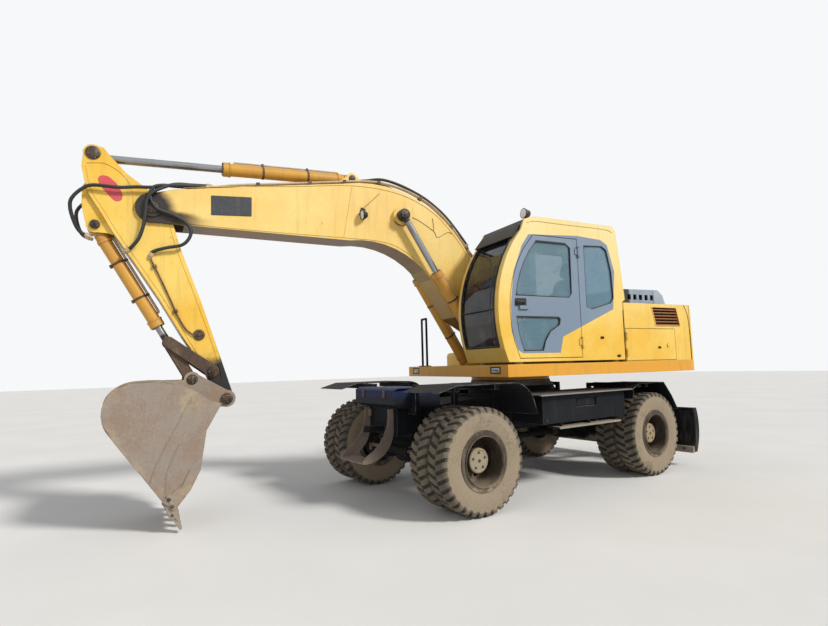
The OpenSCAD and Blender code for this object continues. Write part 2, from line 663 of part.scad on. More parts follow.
// Raised cowl over the engine, hinged at its front edge
module hood_lid() color(black) upper() {
  difference() {
    slab(-cowl_half, cowl_half) polygon([[cowl_front, hood_z + run], [cowl_front - 15, hood_z + cowl_h],
      [cowl_rear + 150, hood_z + cowl_h + 10], [cowl_rear + 60, hood_z + cowl_h - 60],
      [cowl_rear, hood_z + run]]);
    slab(-cowl_half + 15, cowl_half - 15) polygon([[cowl_front - 15, hood_z],
      [cowl_front - 30, hood_z + cowl_h - 15],
      [cowl_rear + 145, hood_z + cowl_h - 5], [cowl_rear + 72, hood_z + cowl_h - 65],
      [cowl_rear + 17, hood_z]]);
    // Vents along both sides
    for (i = [0:4]) slab(-cowl_half - 5, cowl_half + 5)
      translate([cowl_front - 190 - i * 105, hood_z + 90]) square([60, 70]);
  }
  for (y = [-500, 440]) translate([cowl_front + 14, y, hood_z + 16]) {
    rotate([-90, 0, 0]) hinge_eye(60, 11);
    box([-22, 0, -8], [-8, 60, 8]);
  }
}
// Tanks and the low box on the right, ahead of the engine
module tank_box() color(yellow) upper() {
  slab(-deck_w / 2 + 10, -400) polygon(concat([[house_front + seat, belt_z + seat],
    [house_front + seat, 2080], [-180, 2080]], arc([-230, 2000], 80, 60, 0, 4), [[-150, 1660]],
    [[200, 1640]], arc([210, 1580], 60, 80, 0, 4), [[270, belt_z + seat]]));
}
rail_r = 16;
// Handrails: one by the front right corner, one on the tank
module handrails() color(black) upper() {
  edge = -deck_w / 2;
  for (y = [edge + 100, edge + 240]) rod([730, y, belt_z + 2], [730, y, belt_z + 640], rail_r);
  tube([[730, edge + 100, belt_z + 600], [730, edge + 100, belt_z + 690],
    [730, edge + 240, belt_z + 690], [730, edge + 240, belt_z + 600]], rail_r);
  tube([for (p = [[-760, 2080 + seat], [-760, 2330], [-300, 2330], [-240, 2240], [-240, 2080 + seat]])
    [p[0], edge + 60, p[1]]], rail_r);
  box([690, edge + 50, belt_z + seat], [770, edge + 290, belt_z + 12]);
}

// Cab: side view with a curved front, moved in by e for the inner faces
cab_foot = belt_z + 25;
nose = centre([913, 1558], [994, 2030], [668, 2923]);
nose_r = gap(nose, [994, 2030]);
function on_nose(e, z) = [nose[0] + sqrt((nose_r - e) * (nose_r - e) - (z - nose[1]) * (z - nose[1])), z];
function cab_side(e) = concat(
  [[-845 + e, cab_foot + e], [-845 + e, 2172 + e / 2]],
  [[-cab_rear + e, 2205 + e / 2]], [[-800 + e, roof_z - 70]], [[-740 + e, roof_z - 8 - e]],
  [[450, roof_z - e]], [[590, roof_z - 45 - e]],
  [for (i = [0:10]) on_nose(e, 2950 - e * 0.6 - i * (2950 - e * 1.6 - cab_foot) / 10)]);
module door_outline(e) {
  polygon(concat([[-165 + e, 1505 + e], [-165 + e, 2900 - e]],
    [for (i = [0:8]) on_nose(post_w + e, 2900 - e - i * (2900 - 1505 - 2 * e) / 8)]));
}
// Window outlines in the side view
module upper_pane(e) {
  polygon(concat([[-5, 2195 + e], [-46 + e, 2245], [-57 + e, 2784], [20, 2838 - e]],
    [for (i = [0:5]) on_nose(post_w + 75 + e, 2838 - e - i * (643 - 2 * e) / 5)]));
}
module lower_pane(e) {
  polygon(concat([[400 + e, 1587 + e], [369 + e, 1690], [291 + e, 1802], [153 + e, 1879],
    [138 + e, 1950], [165, 1972 - e]],
    [for (i = [0:4]) on_nose(post_w + 85 + e, 1972 - e - i * (385 - 2 * e) / 4)]));
}
module quarter_pane(e) {
  polygon([[-262 - e, 2092 + e], [-262 - e, 2832 - e], [-560, 2845 - e], [-630 + e, 2800],
    [-690 + e, 2540], [-706 + e, 2215], [-655, 2150 + e], [-350, 2068 + e]]);
}
module right_pane(e) {
  polygon(concat([[-700 + e, 2050 + e], [-690 + e, 2900 - e]],
    [for (i = [0:6]) on_nose(post_w + e, 2900 - e - i * (850 - 2 * e) / 6)]));
}
cab_right = cab_left - cab_w;
front_pane_y = 75;
module cab_shell() color(yellow) upper() {
  difference() {
    slab(cab_right, cab_left) polygon(cab_side(0));
    slab(cab_right + cab_wall, cab_left - cab_wall) polygon(cab_side(cab_wall));
    slab(cab_left - cab_wall - 1, cab_left + 1) {
      door_outline(0);
      quarter_pane(0);
    }
    slab(cab_right - 1, cab_right + cab_wall + 1) right_pane(0);
    // Windscreen from the belt of the cab to the brow, rear window and roof hatch
    slab(cab_right + front_pane_y, cab_left - front_pane_y) windscreen_cut(0);
    slab(cab_right + 110, cab_left - 110)
      polygon([[-cab_rear - 10, 2260], [-cab_rear + 130, 2260], [-640, 2960], [-cab_rear - 10, 2960]]);
  }
  // Pins of the door
  for (z = cab_hinges) translate([door_hinge[0], door_hinge[1], z]) {
    hinge_pin(90, 12);
    for (h = [-18, 93]) box([-28, -15, h], [-3, 5, h + 15]);
  }
  // Rubber feet of the cab on the deck
  for (x = [-760, 680], y = [cab_right + 90, cab_left - 90])
    translate([x, y, deck_low + 20 + seat]) cylinder(r = 45, h = cab_foot - deck_low - 15);
}
module windscreen_cut(e) {
  polygon(concat([[600, 1640 + e], [600, 2945 - e]],
    [for (i = [0:10]) on_nose(-30, 2945 - e - i * (2945 - 1640 - 2 * e) / 10)]));
}
module windscreen_pane(e) {
  outer = [for (i = [0:10]) on_nose(12, 2945 - e - i * (2945 - 1640 - 2 * e) / 10)];
  inner = [for (i = [10:-1:0]) on_nose(12 + glass_t, 2945 - e - i * (2945 - 1640 - 2 * e) / 10)];
  polygon(concat(outer, inner));
}
module cab_glass() color("#9fb4bf") upper() {
  slab(cab_right + front_pane_y + seat, cab_left - front_pane_y - seat) windscreen_pane(seat);
  slab(cab_left - 20, cab_left - 20 + glass_t) quarter_pane(seat);
  slab(cab_right + 14, cab_right + 14 + glass_t) right_pane(seat);
  intersection() {
    slab(cab_right + 110 + seat, cab_left - 110 - seat) polygon([[-cab_rear + 19, 2200],
      [-cab_rear + 25, 2200], [-793, 2980], [-799, 2980]]);
    box([-2000, 0, 2260 + seat], [0, 1300, 2960 - seat]);
  }
}
door_y = cab_left - cab_wall;
module cab_door() color(slate) upper() {
  difference() {
    slab(door_y, cab_left) door_outline(7);
    slab(door_y - 1, cab_left + 1) {
      upper_pane(0);
      lower_pane(0);
    }
  }
  // Hinge knuckles on the rear edge and the handle by the front edge
  for (z = cab_hinges) {
    translate([door_hinge[0], door_hinge[1], z]) hinge_eye(90, 12);
    box([door_hinge[0] + 9, cab_left - 1, z + 10], [-120, cab_left + 10, z + 80]);
  }
  box([600, cab_left, 2045], [720, cab_left + 22, 2085]);
}
door_hinge = [-162, cab_left + 14];
cab_hinges = [1640, 2700];
module door_glass() color("#9fb4bf") upper() {
  slab(cab_left - 22, cab_left - 22 + glass_t) upper_pane(seat);
  slab(cab_left - 22, cab_left - 22 + glass_t) lower_pane(seat);
}
// Seat on its plinth, side consoles with levers, and the steering column
module cab_interior() color(black) upper() {
  mid = (cab_left + cab_right) / 2;
  floor_z = cab_foot + cab_wall + seat;
  box([-330, mid - 190, floor_z], [160, mid + 190, floor_z + 240]);
  box([-340, mid - 240, floor_z + 240], [210, mid + 240, floor_z + 350]);
  slab(mid - 220, mid + 220) polygon([[-330, floor_z + 350], [-230, floor_z + 350],
    [-330, floor_z + 960], [-420, floor_z + 960]]);
  slab(mid - 130, mid + 130) polygon([[-408, floor_z + 960], [-340, floor_z + 960],
    [-370, floor_z + 1150], [-430, floor_z + 1150]]);
  for (s = [-1, 1]) {
    box([-300, mid + s * 310 - 60, floor_z], [200, mid + s * 310 + 60, floor_z + 480]);
    rod([130, mid + s * 310, floor_z + 480], [160, mid + s * 310, floor_z + 680], 12);
    translate([162, mid + s * 310, floor_z + 700]) sphere(28);
  }
  translate([640, mid, floor_z]) cylinder(r = 60, h = 20);
  rod([637, mid, floor_z + 12], [520, mid, floor_z + 640], 38);
  translate([512, mid, floor_z + 650]) rotate([0, -12, 0])
    rotate_extrude() translate([180, 0]) circle(14, $fn = 20);
  translate([512, mid, floor_z + 644]) rotate([0, -12, 0]) box([-180, -18, -8], [180, 18, 10]);
  translate([512, mid, floor_z + 644]) rotate([0, -12, 0]) box([-18, -180, -8], [18, 180, 10]);
}
// Work lamps: two in the deck's front face and one on the roof
module lamps() color(steel) upper() {
  for (s = [-1, 1]) {
    box([deck_front - 30 + seat, s * lamp_y - 95, deck_low + 40],
      [deck_front - 4, s * lamp_y + 95, belt_z - 27]);
  }
  translate([410, 1010, roof_z + seat]) {
    cylinder(r = 14, h = 40);
    translate([-40, 0, 85]) rotate([0, 90, 0]) cylinder(r1 = 40, r2 = 58, h = 70);
    box([-20, -16, 30], [20, 16, 50]);
  }
}

// Boom: side view with a bend, foot boss and a fork at the tip
tip_r = 150;
bend_in = [1071, 1015];
bend_mid = [1900, 1302];
bend_out = [2729, 1085];
boom_top = through(bend_in, bend_mid, bend_out, 10);
boom_nose = [boom_len - 130, 262];
boom_low = through([2474, 466], [1985, 590], [1350, 400], 8);
module boom_outline() {
  disc([0, 0], 150);
  disc([boom_len, 0], tip_r);
  polygon(concat([[-75, 130]], boom_top, [boom_nose, [boom_len + 40, 145]],
    [[boom_len - 20, -148]], boom_low, [[900, 60], [60, -138]]));
}
module boom() color(yellow) upper() at(foot, boom_angle) {
  difference() {
    slab(-boom_w / 2, boom_w / 2) boom_outline();
    // Fork for the head of the arm
    slab(-arm_w / 2 - 10, arm_w / 2 + 10) {
      disc([boom_len, 0], 330);
      polygon([[boom_len - 300, -400], [boom_len - 330, 0], [boom_len - 560, 520],
        [boom_len + 400, 520], [boom_len + 400, -400]]);
    }
    bar([0, 0], 45 + fit, -boom_w, boom_w);
  }
  // Boss of the foot on both sides, out to the cheeks
  difference() {
    both(boom_w / 2 - 10, cheek_y - 4) disc([0, 0], 110);
    bar([0, 0], 45 + fit, -boom_w, boom_w);
  }
  // Head pin through the fork, with its collars
  bar([boom_len, 0], 42, -boom_w / 2 - 25, boom_w / 2 + 25);
  both(boom_w / 2 - 1, boom_w / 2 + 14) disc([boom_len, 0], 95);
  // Doublers beside the eyes of the boom cylinders
  both(boom_w / 2 - 1, boom_cyl_y - 48) disc(boom_cyl_eye, 110);
  // Ears of the arm cylinder on the boom's back
  both(74, 96) {
    disc(arm_cyl_base, 66);
    polygon([arm_cyl_base + [-260, -40], arm_cyl_base + [-40, 53], arm_cyl_base + [66, 0],
      arm_cyl_base + [190, -180], arm_cyl_base + [-200, -130]]);
  }
  bar(arm_cyl_base, 34, -99, 99);
}
// Steel pipes along the boom's back, on both sides of the arm cylinder
top_c = centre(bend_in, bend_mid, bend_out);
top_r = gap(top_c, bend_in);
bend = [for (p = [bend_in, bend_out]) heading(top_c, p)];
rise = heading([-75, 130], bend_in);
fall = heading(bend_out, boom_nose);
// Clamps along the boom's back, as [place on the back, direction]: on its rise, bend and fall
pipe_lift = 34;
clamps = concat([[bend_in + turn([-180, seat], rise), rise]],
  [for (t = [0.1:0.2:0.9]) let (a = bend[0] + (bend[1] - bend[0]) * t)
    [top_c + (top_r + seat) * [cos(a), sin(a)], a - 90]],
  [for (t = [110, 1150]) [bend_out + turn([t, seat], fall), fall]]);
module boom_pipes() color(rust) upper() at(foot, boom_angle) {
  line = [for (c = clamps) c[0] + turn([0, pipe_lift - seat], c[1])];
  path = concat([line[0] + turn([-90, 0], rise)], line, [line[len(line) - 1] + turn([130, 0], fall)]);
  // The pipes bend inside the clamps, where their lengths stop short of each other
  for (y = [-148, -114, 114, 148], i = [0:len(path) - 2])
    let (u = turn([4, 0], heading(path[i], path[i + 1])), p = path[i] + u, q = path[i + 1] - u)
      rod([p[0], y, p[1]], [q[0], y, q[1]], 11);
  for (c = clamps) mirrored() at(c[0], c[1]) box([-22, 100, 0], [22, 163, 50]);
}
boom_eye = from_boom(boom_cyl_eye);
boom_rest = gap(boom_cyl_base, boom_eye);
module boom_cylinders(part) upper() at(boom_cyl_base, heading(boom_cyl_base, boom_eye))
  for (s = [-1, 1]) translate([0, s * boom_cyl_y, 0])
    if (part == "barrel") barrel(1366, 62, 38, 75, 78, 35);
    else piston_rod(560, boom_rest, 38, 70, 76, 34, 90);
module boom_barrels() color(yellow) boom_cylinders("barrel");
module boom_rods() color(steel) boom_cylinders("rod");

// Arm cylinder on the boom's back
arm_eye_world = from_arm(arm_cyl_eye);
arm_base_world = from_boom(arm_cyl_base);
arm_rest = gap(arm_base_world, arm_eye_world);
module arm_cylinder() upper() at(arm_base_world, heading(arm_base_world, arm_eye_world)) children();
module arm_barrel() color(yellow) arm_cylinder() barrel(1443, 68, 40, 64, 142, 34);
module arm_rod() color(steel) arm_cylinder() piston_rod(1190, arm_rest, 40, 74, 104, 36, 112);

// Arm: side view with the two cylinder ears at its head and a slim foot
arm_front = [[arm_len - 68, 70], [arm_len - 328, 84], [1300, 168], [888, 238], [480, 326], [150, 404],
  [-104, 446], [-300, 484], [-540, 448]];
module arm_outline() {
  disc([0, 0], 150);
  disc([arm_len, 0], 78);
  disc(arm_cyl_eye, 84);
  polygon(concat([[-60, -138], [190, -134], [470, -114], [1005, -114], [1524, -98], [arm_len, -78]],
    arm_front, [for (d = [[-60, 59], [-84, -10], [-31, -104], [39, -126], [256, -213], [460, -348]])
      arm_cyl_eye + d]));
}
// Outline of the slot in the arm's head, from the eye of the arm cylinder
eye_slot = [[63, 183], [210, 73], [273, -7], [273, -97], [220, -207], [190, -337], [-700, -700],
  [-700, 100], [-131, 193]];
module arm() color(yellow) upper() at(tip, arm_angle) {
  difference() {
    slab(-arm_w / 2, arm_w / 2) arm_outline();
    // Slot between the ears for the rod of the arm cylinder, over the whole drift of its eye
    slab(-58, 58) polygon([for (d = eye_slot) arm_cyl_eye + d]);
    bar([0, 0], 42 + fit, -arm_w, arm_w);
    bar([arm_len, 0], 38 + fit, -arm_w, arm_w);
  }
  // Wide boss of the foot between the bucket's ears
  difference() {
    both(arm_w / 2 - 1, 172) disc([arm_len, 0], 72);
    bar([arm_len, 0], 38 + fit, -300, 300);
  }
  // Ears of the bucket cylinder, with its base pin
  both(66, 92) {
    disc(bucket_cyl_base, 76);
    polygon([[-430, 430], [-361, 510], [-192, 570], [-33, 594], [66, 590], bucket_cyl_base + [74, 14],
      [120, 460], [170, 370], [-100, 350]]);
  }
  bar(bucket_cyl_base, 34, -102, 102);
  // Pin of the rockers
  bar(rocker_pin, 34, -184, 184);
  both(arm_w / 2 - 1, 146) disc(rocker_pin, 60);
}

// Bucket cylinder down the front of the arm
bucket_base_world = from_arm(bucket_cyl_base);
rod_pin_world = from_arm(rod_pin);
bucket_cyl_rest = gap(bucket_base_world, rod_pin_world);
module bucket_cylinder() upper()
  at(bucket_base_world, heading(bucket_base_world, rod_pin_world)) children();
module bucket_barrel() color(yellow) bucket_cylinder() barrel(1120, 62, 36, 74, 126, 34);
module bucket_rod() color(steel) bucket_cylinder() piston_rod(190, bucket_cyl_rest, 36, 56, 100, 30, 104);

// Rockers: a plate on each side of the arm, with the stubs that carry the link
module bone(p, q, rp, rq) {
  h = heading(p, q);
  disc(p, rp);
  disc(q, rq);
  polygon([p + turn([0, rp], h), q + turn([0, rq], h), q + turn([0, -rq], h), p + turn([0, -rp], h)]);
}
module rocker() color(rust) upper() at(tip, arm_angle) {
  difference() {
    both(150, 176) bone(rocker_pin, rod_pin, 60, 52);
    bar(rocker_pin, 34 + fit, -300, 300);
  }
  both(60, 176) disc(rod_pin, 30);
}
// Link: two cheeks on the stubs, a web between them and a boss between the bucket's ears
ear_in_arm = [arm_len, 0] + turn(ear_pin, bucket_angle - arm_angle);
module link() color(rust) upper() at(tip, arm_angle) {
  h = heading(rod_pin, ear_in_arm);
  difference() {
    union() {
      both(66, 142) disc(rod_pin, 48);
      both(100, 142) bone(rod_pin, ear_in_arm, 48, 50);
      slab(-142, 142) polygon([rod_pin + turn([150, 26], h), rod_pin + turn([330, 34], h),
        rod_pin + turn([330, -34], h), rod_pin + turn([150, -26], h)]);
      slab(-176, 176) disc(ear_in_arm, 52);
    }
    bar(rod_pin, 30 + fit, -300, 300);
  }
}

// Bucket: a rolled shell, side plates, ears with the pin, side cutters and teeth
lip = [bucket_r - 170, 130];
back = concat([[70, 150], [22, 300], [18, 480], [35, 640], [127, 866]],
  through([200, 955], [330, 1000], [523, 940], 5), [[655, 782], [847, 497]]);
module bucket_side() {
  polygon(concat([[60, 60]], back, [lip + [0, 60]], [[lip[0] + 30, lip[1] - 20], [872, 40], [684, 22],
    [331, 100]]));
}
inner_back = concat([[98, 165], [44, 304], [40, 480], [56, 634], [145, 856]],
  through([212, 938], [330, 978], [510, 924], 5), [[638, 770], [829, 484]]);
module bucket() color(rust) upper() at(bucket_pin, bucket_angle) {
  difference() {
    slab(-bucket_w / 2, bucket_w / 2) bucket_side();
    slab(-bucket_w / 2 + bucket_t, bucket_w / 2 - bucket_t)
      polygon(concat([[90, -60]], inner_back, [lip + [-22, 52]], [lip + [200, -100]], [[900, -200]]));
  }
  // Ears: two plates that hold the bucket pin and stand beside the link's boss
  both(182, 210) {
    disc([0, 0], 85);
    disc(ear_pin, 75);
    polygon([[30, -80], [85, 0], [150, 200], [60, 560], [20, 620], ear_pin + [30, 70],
      ear_pin + [-72, 20], [-80, 20]]);
  }
  bar([0, 0], 38, -226, 226);
  // Lip, wear strips and teeth
  slab(-bucket_w / 2, bucket_w / 2) polygon([lip + [-30, 40], lip + [-10, 70], lip + [95, -75],
    lip + [80, -85]]);
  both(bucket_w / 2, bucket_w / 2 + 14)
    polygon([[700, 30], [880, 45], [1060, 110], [1030, 230], [960, 210], [860, 130], [700, 110]]);
  for (i = [0:teeth - 1]) {
    y = -bucket_w / 2 + 45 + i * (bucket_w - 90) / (teeth - 1);
    slab(y - 36, y + 36) polygon([lip + [-40, 60], lip + [-10, 100], [bucket_r, 0],
      [bucket_r - 20, -14], lip + [40, -60]]);
  }
}

chassis_frame();
slew_ring();
front_axle();
rear_axle();
fenders();
side_boxes();
front_step();
front_toolbox();
blade();
blade_barrels();
blade_rods();
knuckle_left();
knuckle_right();
steer_rod();
tyres_front_left();
tyres_front_right();
tyres_rear_left();
tyres_rear_right();
rims_front_left();
rims_front_right();
rims_rear_left();
rims_rear_right();
upper_frame();
counterweight();
engine_housing();
engine_block();
hood_lid();
side_door_left();
side_door_right();
tank_box();
handrails();
cab_shell();
cab_glass();
cab_door();
door_glass();
cab_interior();
lamps();
boom();
boom_pipes();
boom_barrels();
boom_rods();
arm();
arm_barrel();
arm_rod();
bucket();
bucket_barrel();
bucket_rod();
rocker();
link();
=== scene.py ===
"""Wheeled excavator: finishes, dressings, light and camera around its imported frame."""
import json
import logging
import math
from dataclasses import dataclass, field
from enum import Enum
from typing import Any, Callable, Sequence

import bmesh
import bpy
import numpy as np
from mathutils import Matrix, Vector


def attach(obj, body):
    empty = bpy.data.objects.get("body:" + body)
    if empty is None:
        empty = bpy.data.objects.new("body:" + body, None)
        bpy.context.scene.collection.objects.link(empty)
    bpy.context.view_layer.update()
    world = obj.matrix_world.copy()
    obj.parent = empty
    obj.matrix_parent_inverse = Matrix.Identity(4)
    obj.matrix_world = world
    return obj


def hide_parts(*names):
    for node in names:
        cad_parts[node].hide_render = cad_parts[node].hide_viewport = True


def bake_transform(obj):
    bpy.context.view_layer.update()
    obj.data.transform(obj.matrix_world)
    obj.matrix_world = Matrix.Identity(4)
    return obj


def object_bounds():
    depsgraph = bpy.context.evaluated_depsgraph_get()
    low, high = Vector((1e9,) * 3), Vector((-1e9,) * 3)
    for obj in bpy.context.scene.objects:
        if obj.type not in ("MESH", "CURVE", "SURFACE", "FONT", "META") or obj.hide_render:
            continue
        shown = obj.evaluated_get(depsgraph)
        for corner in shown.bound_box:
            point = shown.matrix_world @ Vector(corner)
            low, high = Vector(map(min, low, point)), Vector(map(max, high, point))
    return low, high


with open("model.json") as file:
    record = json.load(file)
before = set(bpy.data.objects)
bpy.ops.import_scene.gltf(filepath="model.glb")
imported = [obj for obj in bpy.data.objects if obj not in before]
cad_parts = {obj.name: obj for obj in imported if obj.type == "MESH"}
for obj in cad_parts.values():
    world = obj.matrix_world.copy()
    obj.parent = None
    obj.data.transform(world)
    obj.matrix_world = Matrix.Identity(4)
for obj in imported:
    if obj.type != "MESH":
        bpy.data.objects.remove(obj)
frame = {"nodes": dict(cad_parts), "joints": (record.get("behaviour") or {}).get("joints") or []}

CAD_BOX = [[float(c) for c in corner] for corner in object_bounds()]
LOG = logging.getLogger("excavator")
NODES = frame["nodes"]
JOINTS = {joint["name"]: joint for joint in frame["joints"]}
Points = np.ndarray
MM = 0.001


# Places
@dataclass(frozen=True)
class Place:
    """A carrier's own axes: millimetres forward, to the left and up."""

    origin: Points
    forward: Points
    left: Points
    up: Points

    def out(self, points: Points) -> Points:
        """Row-frame metres: origin plus each coordinate along its own axis."""
        p = np.asarray(points, float) * MM
        return self.origin + p @ np.stack([self.forward, self.left, self.up])

    def turned(self, degrees: float) -> "Place":
        """The same side view turned upwards by degrees."""
        a = math.radians(degrees)
        forward = math.cos(a) * self.forward + math.sin(a) * self.up
        up = -math.sin(a) * self.forward + math.cos(a) * self.up
        return Place(self.origin, forward, self.left, up)


def joint_place(name: str, towards: str) -> Place:
    """A link's axes: x from its own pin to the next one, y along the pins."""
    a = np.array(JOINTS[name]["pos_m"])
    b = np.array(JOINTS[towards]["pos_m"])
    left = UPPER.left
    forward = (b - a) - ((b - a) @ left) * left
    forward /= np.linalg.norm(forward)
    return Place(a, forward, left, np.cross(forward, left))


def slide_place(tilt: str, slide: str) -> Place:
    """A cylinder's axes: x along its rod, y along its base pin."""
    left = np.abs(np.array(JOINTS[tilt]["axis"]))
    forward = np.array(JOINTS[slide]["axis"])
    return Place(np.array(JOINTS[tilt]["pos_m"]), forward, left, np.cross(forward, left))


SLEW = np.array(JOINTS["slew"]["pos_m"]) * [1, 1, 0]
ACROSS = np.abs(np.array(JOINTS["boom_lift"]["axis"]))
CHASSIS = Place(SLEW, np.array([1.0, 0, 0]), np.array([0, 1.0, 0]), np.array([0, 0, 1.0]))
UPPER = Place(SLEW, np.array([ACROSS[1], -ACROSS[0], 0]), ACROSS, np.array([0, 0, 1.0]))
BOOM = joint_place("boom_lift", "arm_swing")
ARM = joint_place("arm_swing", "bucket_curl")
BUCKET_TURN = -69.8
BUCKET = Place(np.array(JOINTS["bucket_curl"]["pos_m"]), UPPER.forward, UPPER.left,
               UPPER.up).turned(BUCKET_TURN)
BOOM_CYLINDER = slide_place("boom_barrels_tilt", "boom_rods_slide")
ARM_CYLINDER = slide_place("arm_barrel_tilt", "arm_rod_slide")
BUCKET_CYLINDER = slide_place("bucket_barrel_tilt", "bucket_rod_slide")
SIDES = (-1, 1)
CAST = ("greasy_iron", "cast_rusty")
RUBBER = ("hose_rubber", "pipe_steel")


# Surfaces
def smooth(points: Sequence[Sequence[float]], steps: int = 6) -> Points:
    """Catmull-Rom: a cubic through each inner point along the chord of its neighbours."""
    p = np.asarray(points, float)
    if len(p) < 3:
        t = np.linspace(0, 1, steps + 1)[:, None]
        return p[0] * (1 - t) + p[-1] * t
    q = np.vstack([2 * p[0] - p[1], p, 2 * p[-1] - p[-2]])
    t = np.linspace(0, 1, steps, endpoint=False)[None, :, None]
    a, b, c, d = (q[i:len(q) - 3 + i, None, :] for i in range(4))
    curve = 0.5 * (2 * b + (c - a) * t + (2 * a - 5 * b + 4 * c - d) * t * t
                   + (3 * b - a - 3 * c + d) * t ** 3)
    return np.vstack([curve.reshape(-1, p.shape[1]), p[-1:]])


def rounded(outline: Sequence[Sequence[float]], radius: float, steps: int = 4) -> Points:
    """Closed outline with each corner replaced by a quadratic curve of the radius' reach."""
    p = np.asarray(outline, float)
    before, after = np.roll(p, 1, 0) - p, np.roll(p, -1, 0) - p
    lb, la = (np.linalg.norm(v, axis=1, keepdims=True) for v in (before, after))
    reach = np.minimum(radius, 0.45 * np.minimum(lb, la))
    start, end = p + before / lb * reach, p + after / la * reach
    t = np.linspace(0, 1, steps)[None, :, None]
    bend = (1 - t) ** 2 * start[:, None] + 2 * t * (1 - t) * p[:, None] + t * t * end[:, None]
    return bend.reshape(-1, 2)


def inset(outline: Points, by: float) -> Points:
    """Closed outline moved inwards by the mean of its two edges' normals."""
    p = np.asarray(outline, float)
    edge = np.roll(p, -1, 0) - p
    edge /= np.maximum(np.linalg.norm(edge, axis=1, keepdims=True), 1e-9)
    normal = np.stack([-edge[:, 1], edge[:, 0]], 1)
    mean = normal + np.roll(normal, 1, 0)
    mean /= np.maximum((mean ** 2).sum(1, keepdims=True) / 2, 0.4)
    x, y = p[:, 0], p[:, 1]
    turn = np.sign((x * np.roll(y, -1) - np.roll(x, -1) * y).sum())
    return p + mean * by * turn


def on_side(line: Points, y: float) -> Points:
    """A line of (x, z) carried to y: each point's x, then y, then its z."""
    p = np.asarray(line, float)
    return np.stack([p[:, 0], np.full(len(p), y), p[:, 1]], 1)


def oblong(x0: float, z0: float, x1: float, z1: float, radius: float, steps: int = 4) -> Points:
    """A rectangle between two corners, its own corners rounded."""
    return rounded([(x0, z0), (x1, z0), (x1, z1), (x0, z1)], radius, steps)


def spots(centre: Sequence[float], radius: float, degrees: Sequence[float],
          plane: tuple[int, int] = (0, 2)) -> Points:
    """Places round a centre: two of its coordinates moved by the cosine and the sine."""
    a = np.radians(degrees)
    out = np.tile(np.asarray(centre, float), (len(a), 1))
    out[:, plane] += radius * np.stack([np.cos(a), np.sin(a)], 1)
    return out


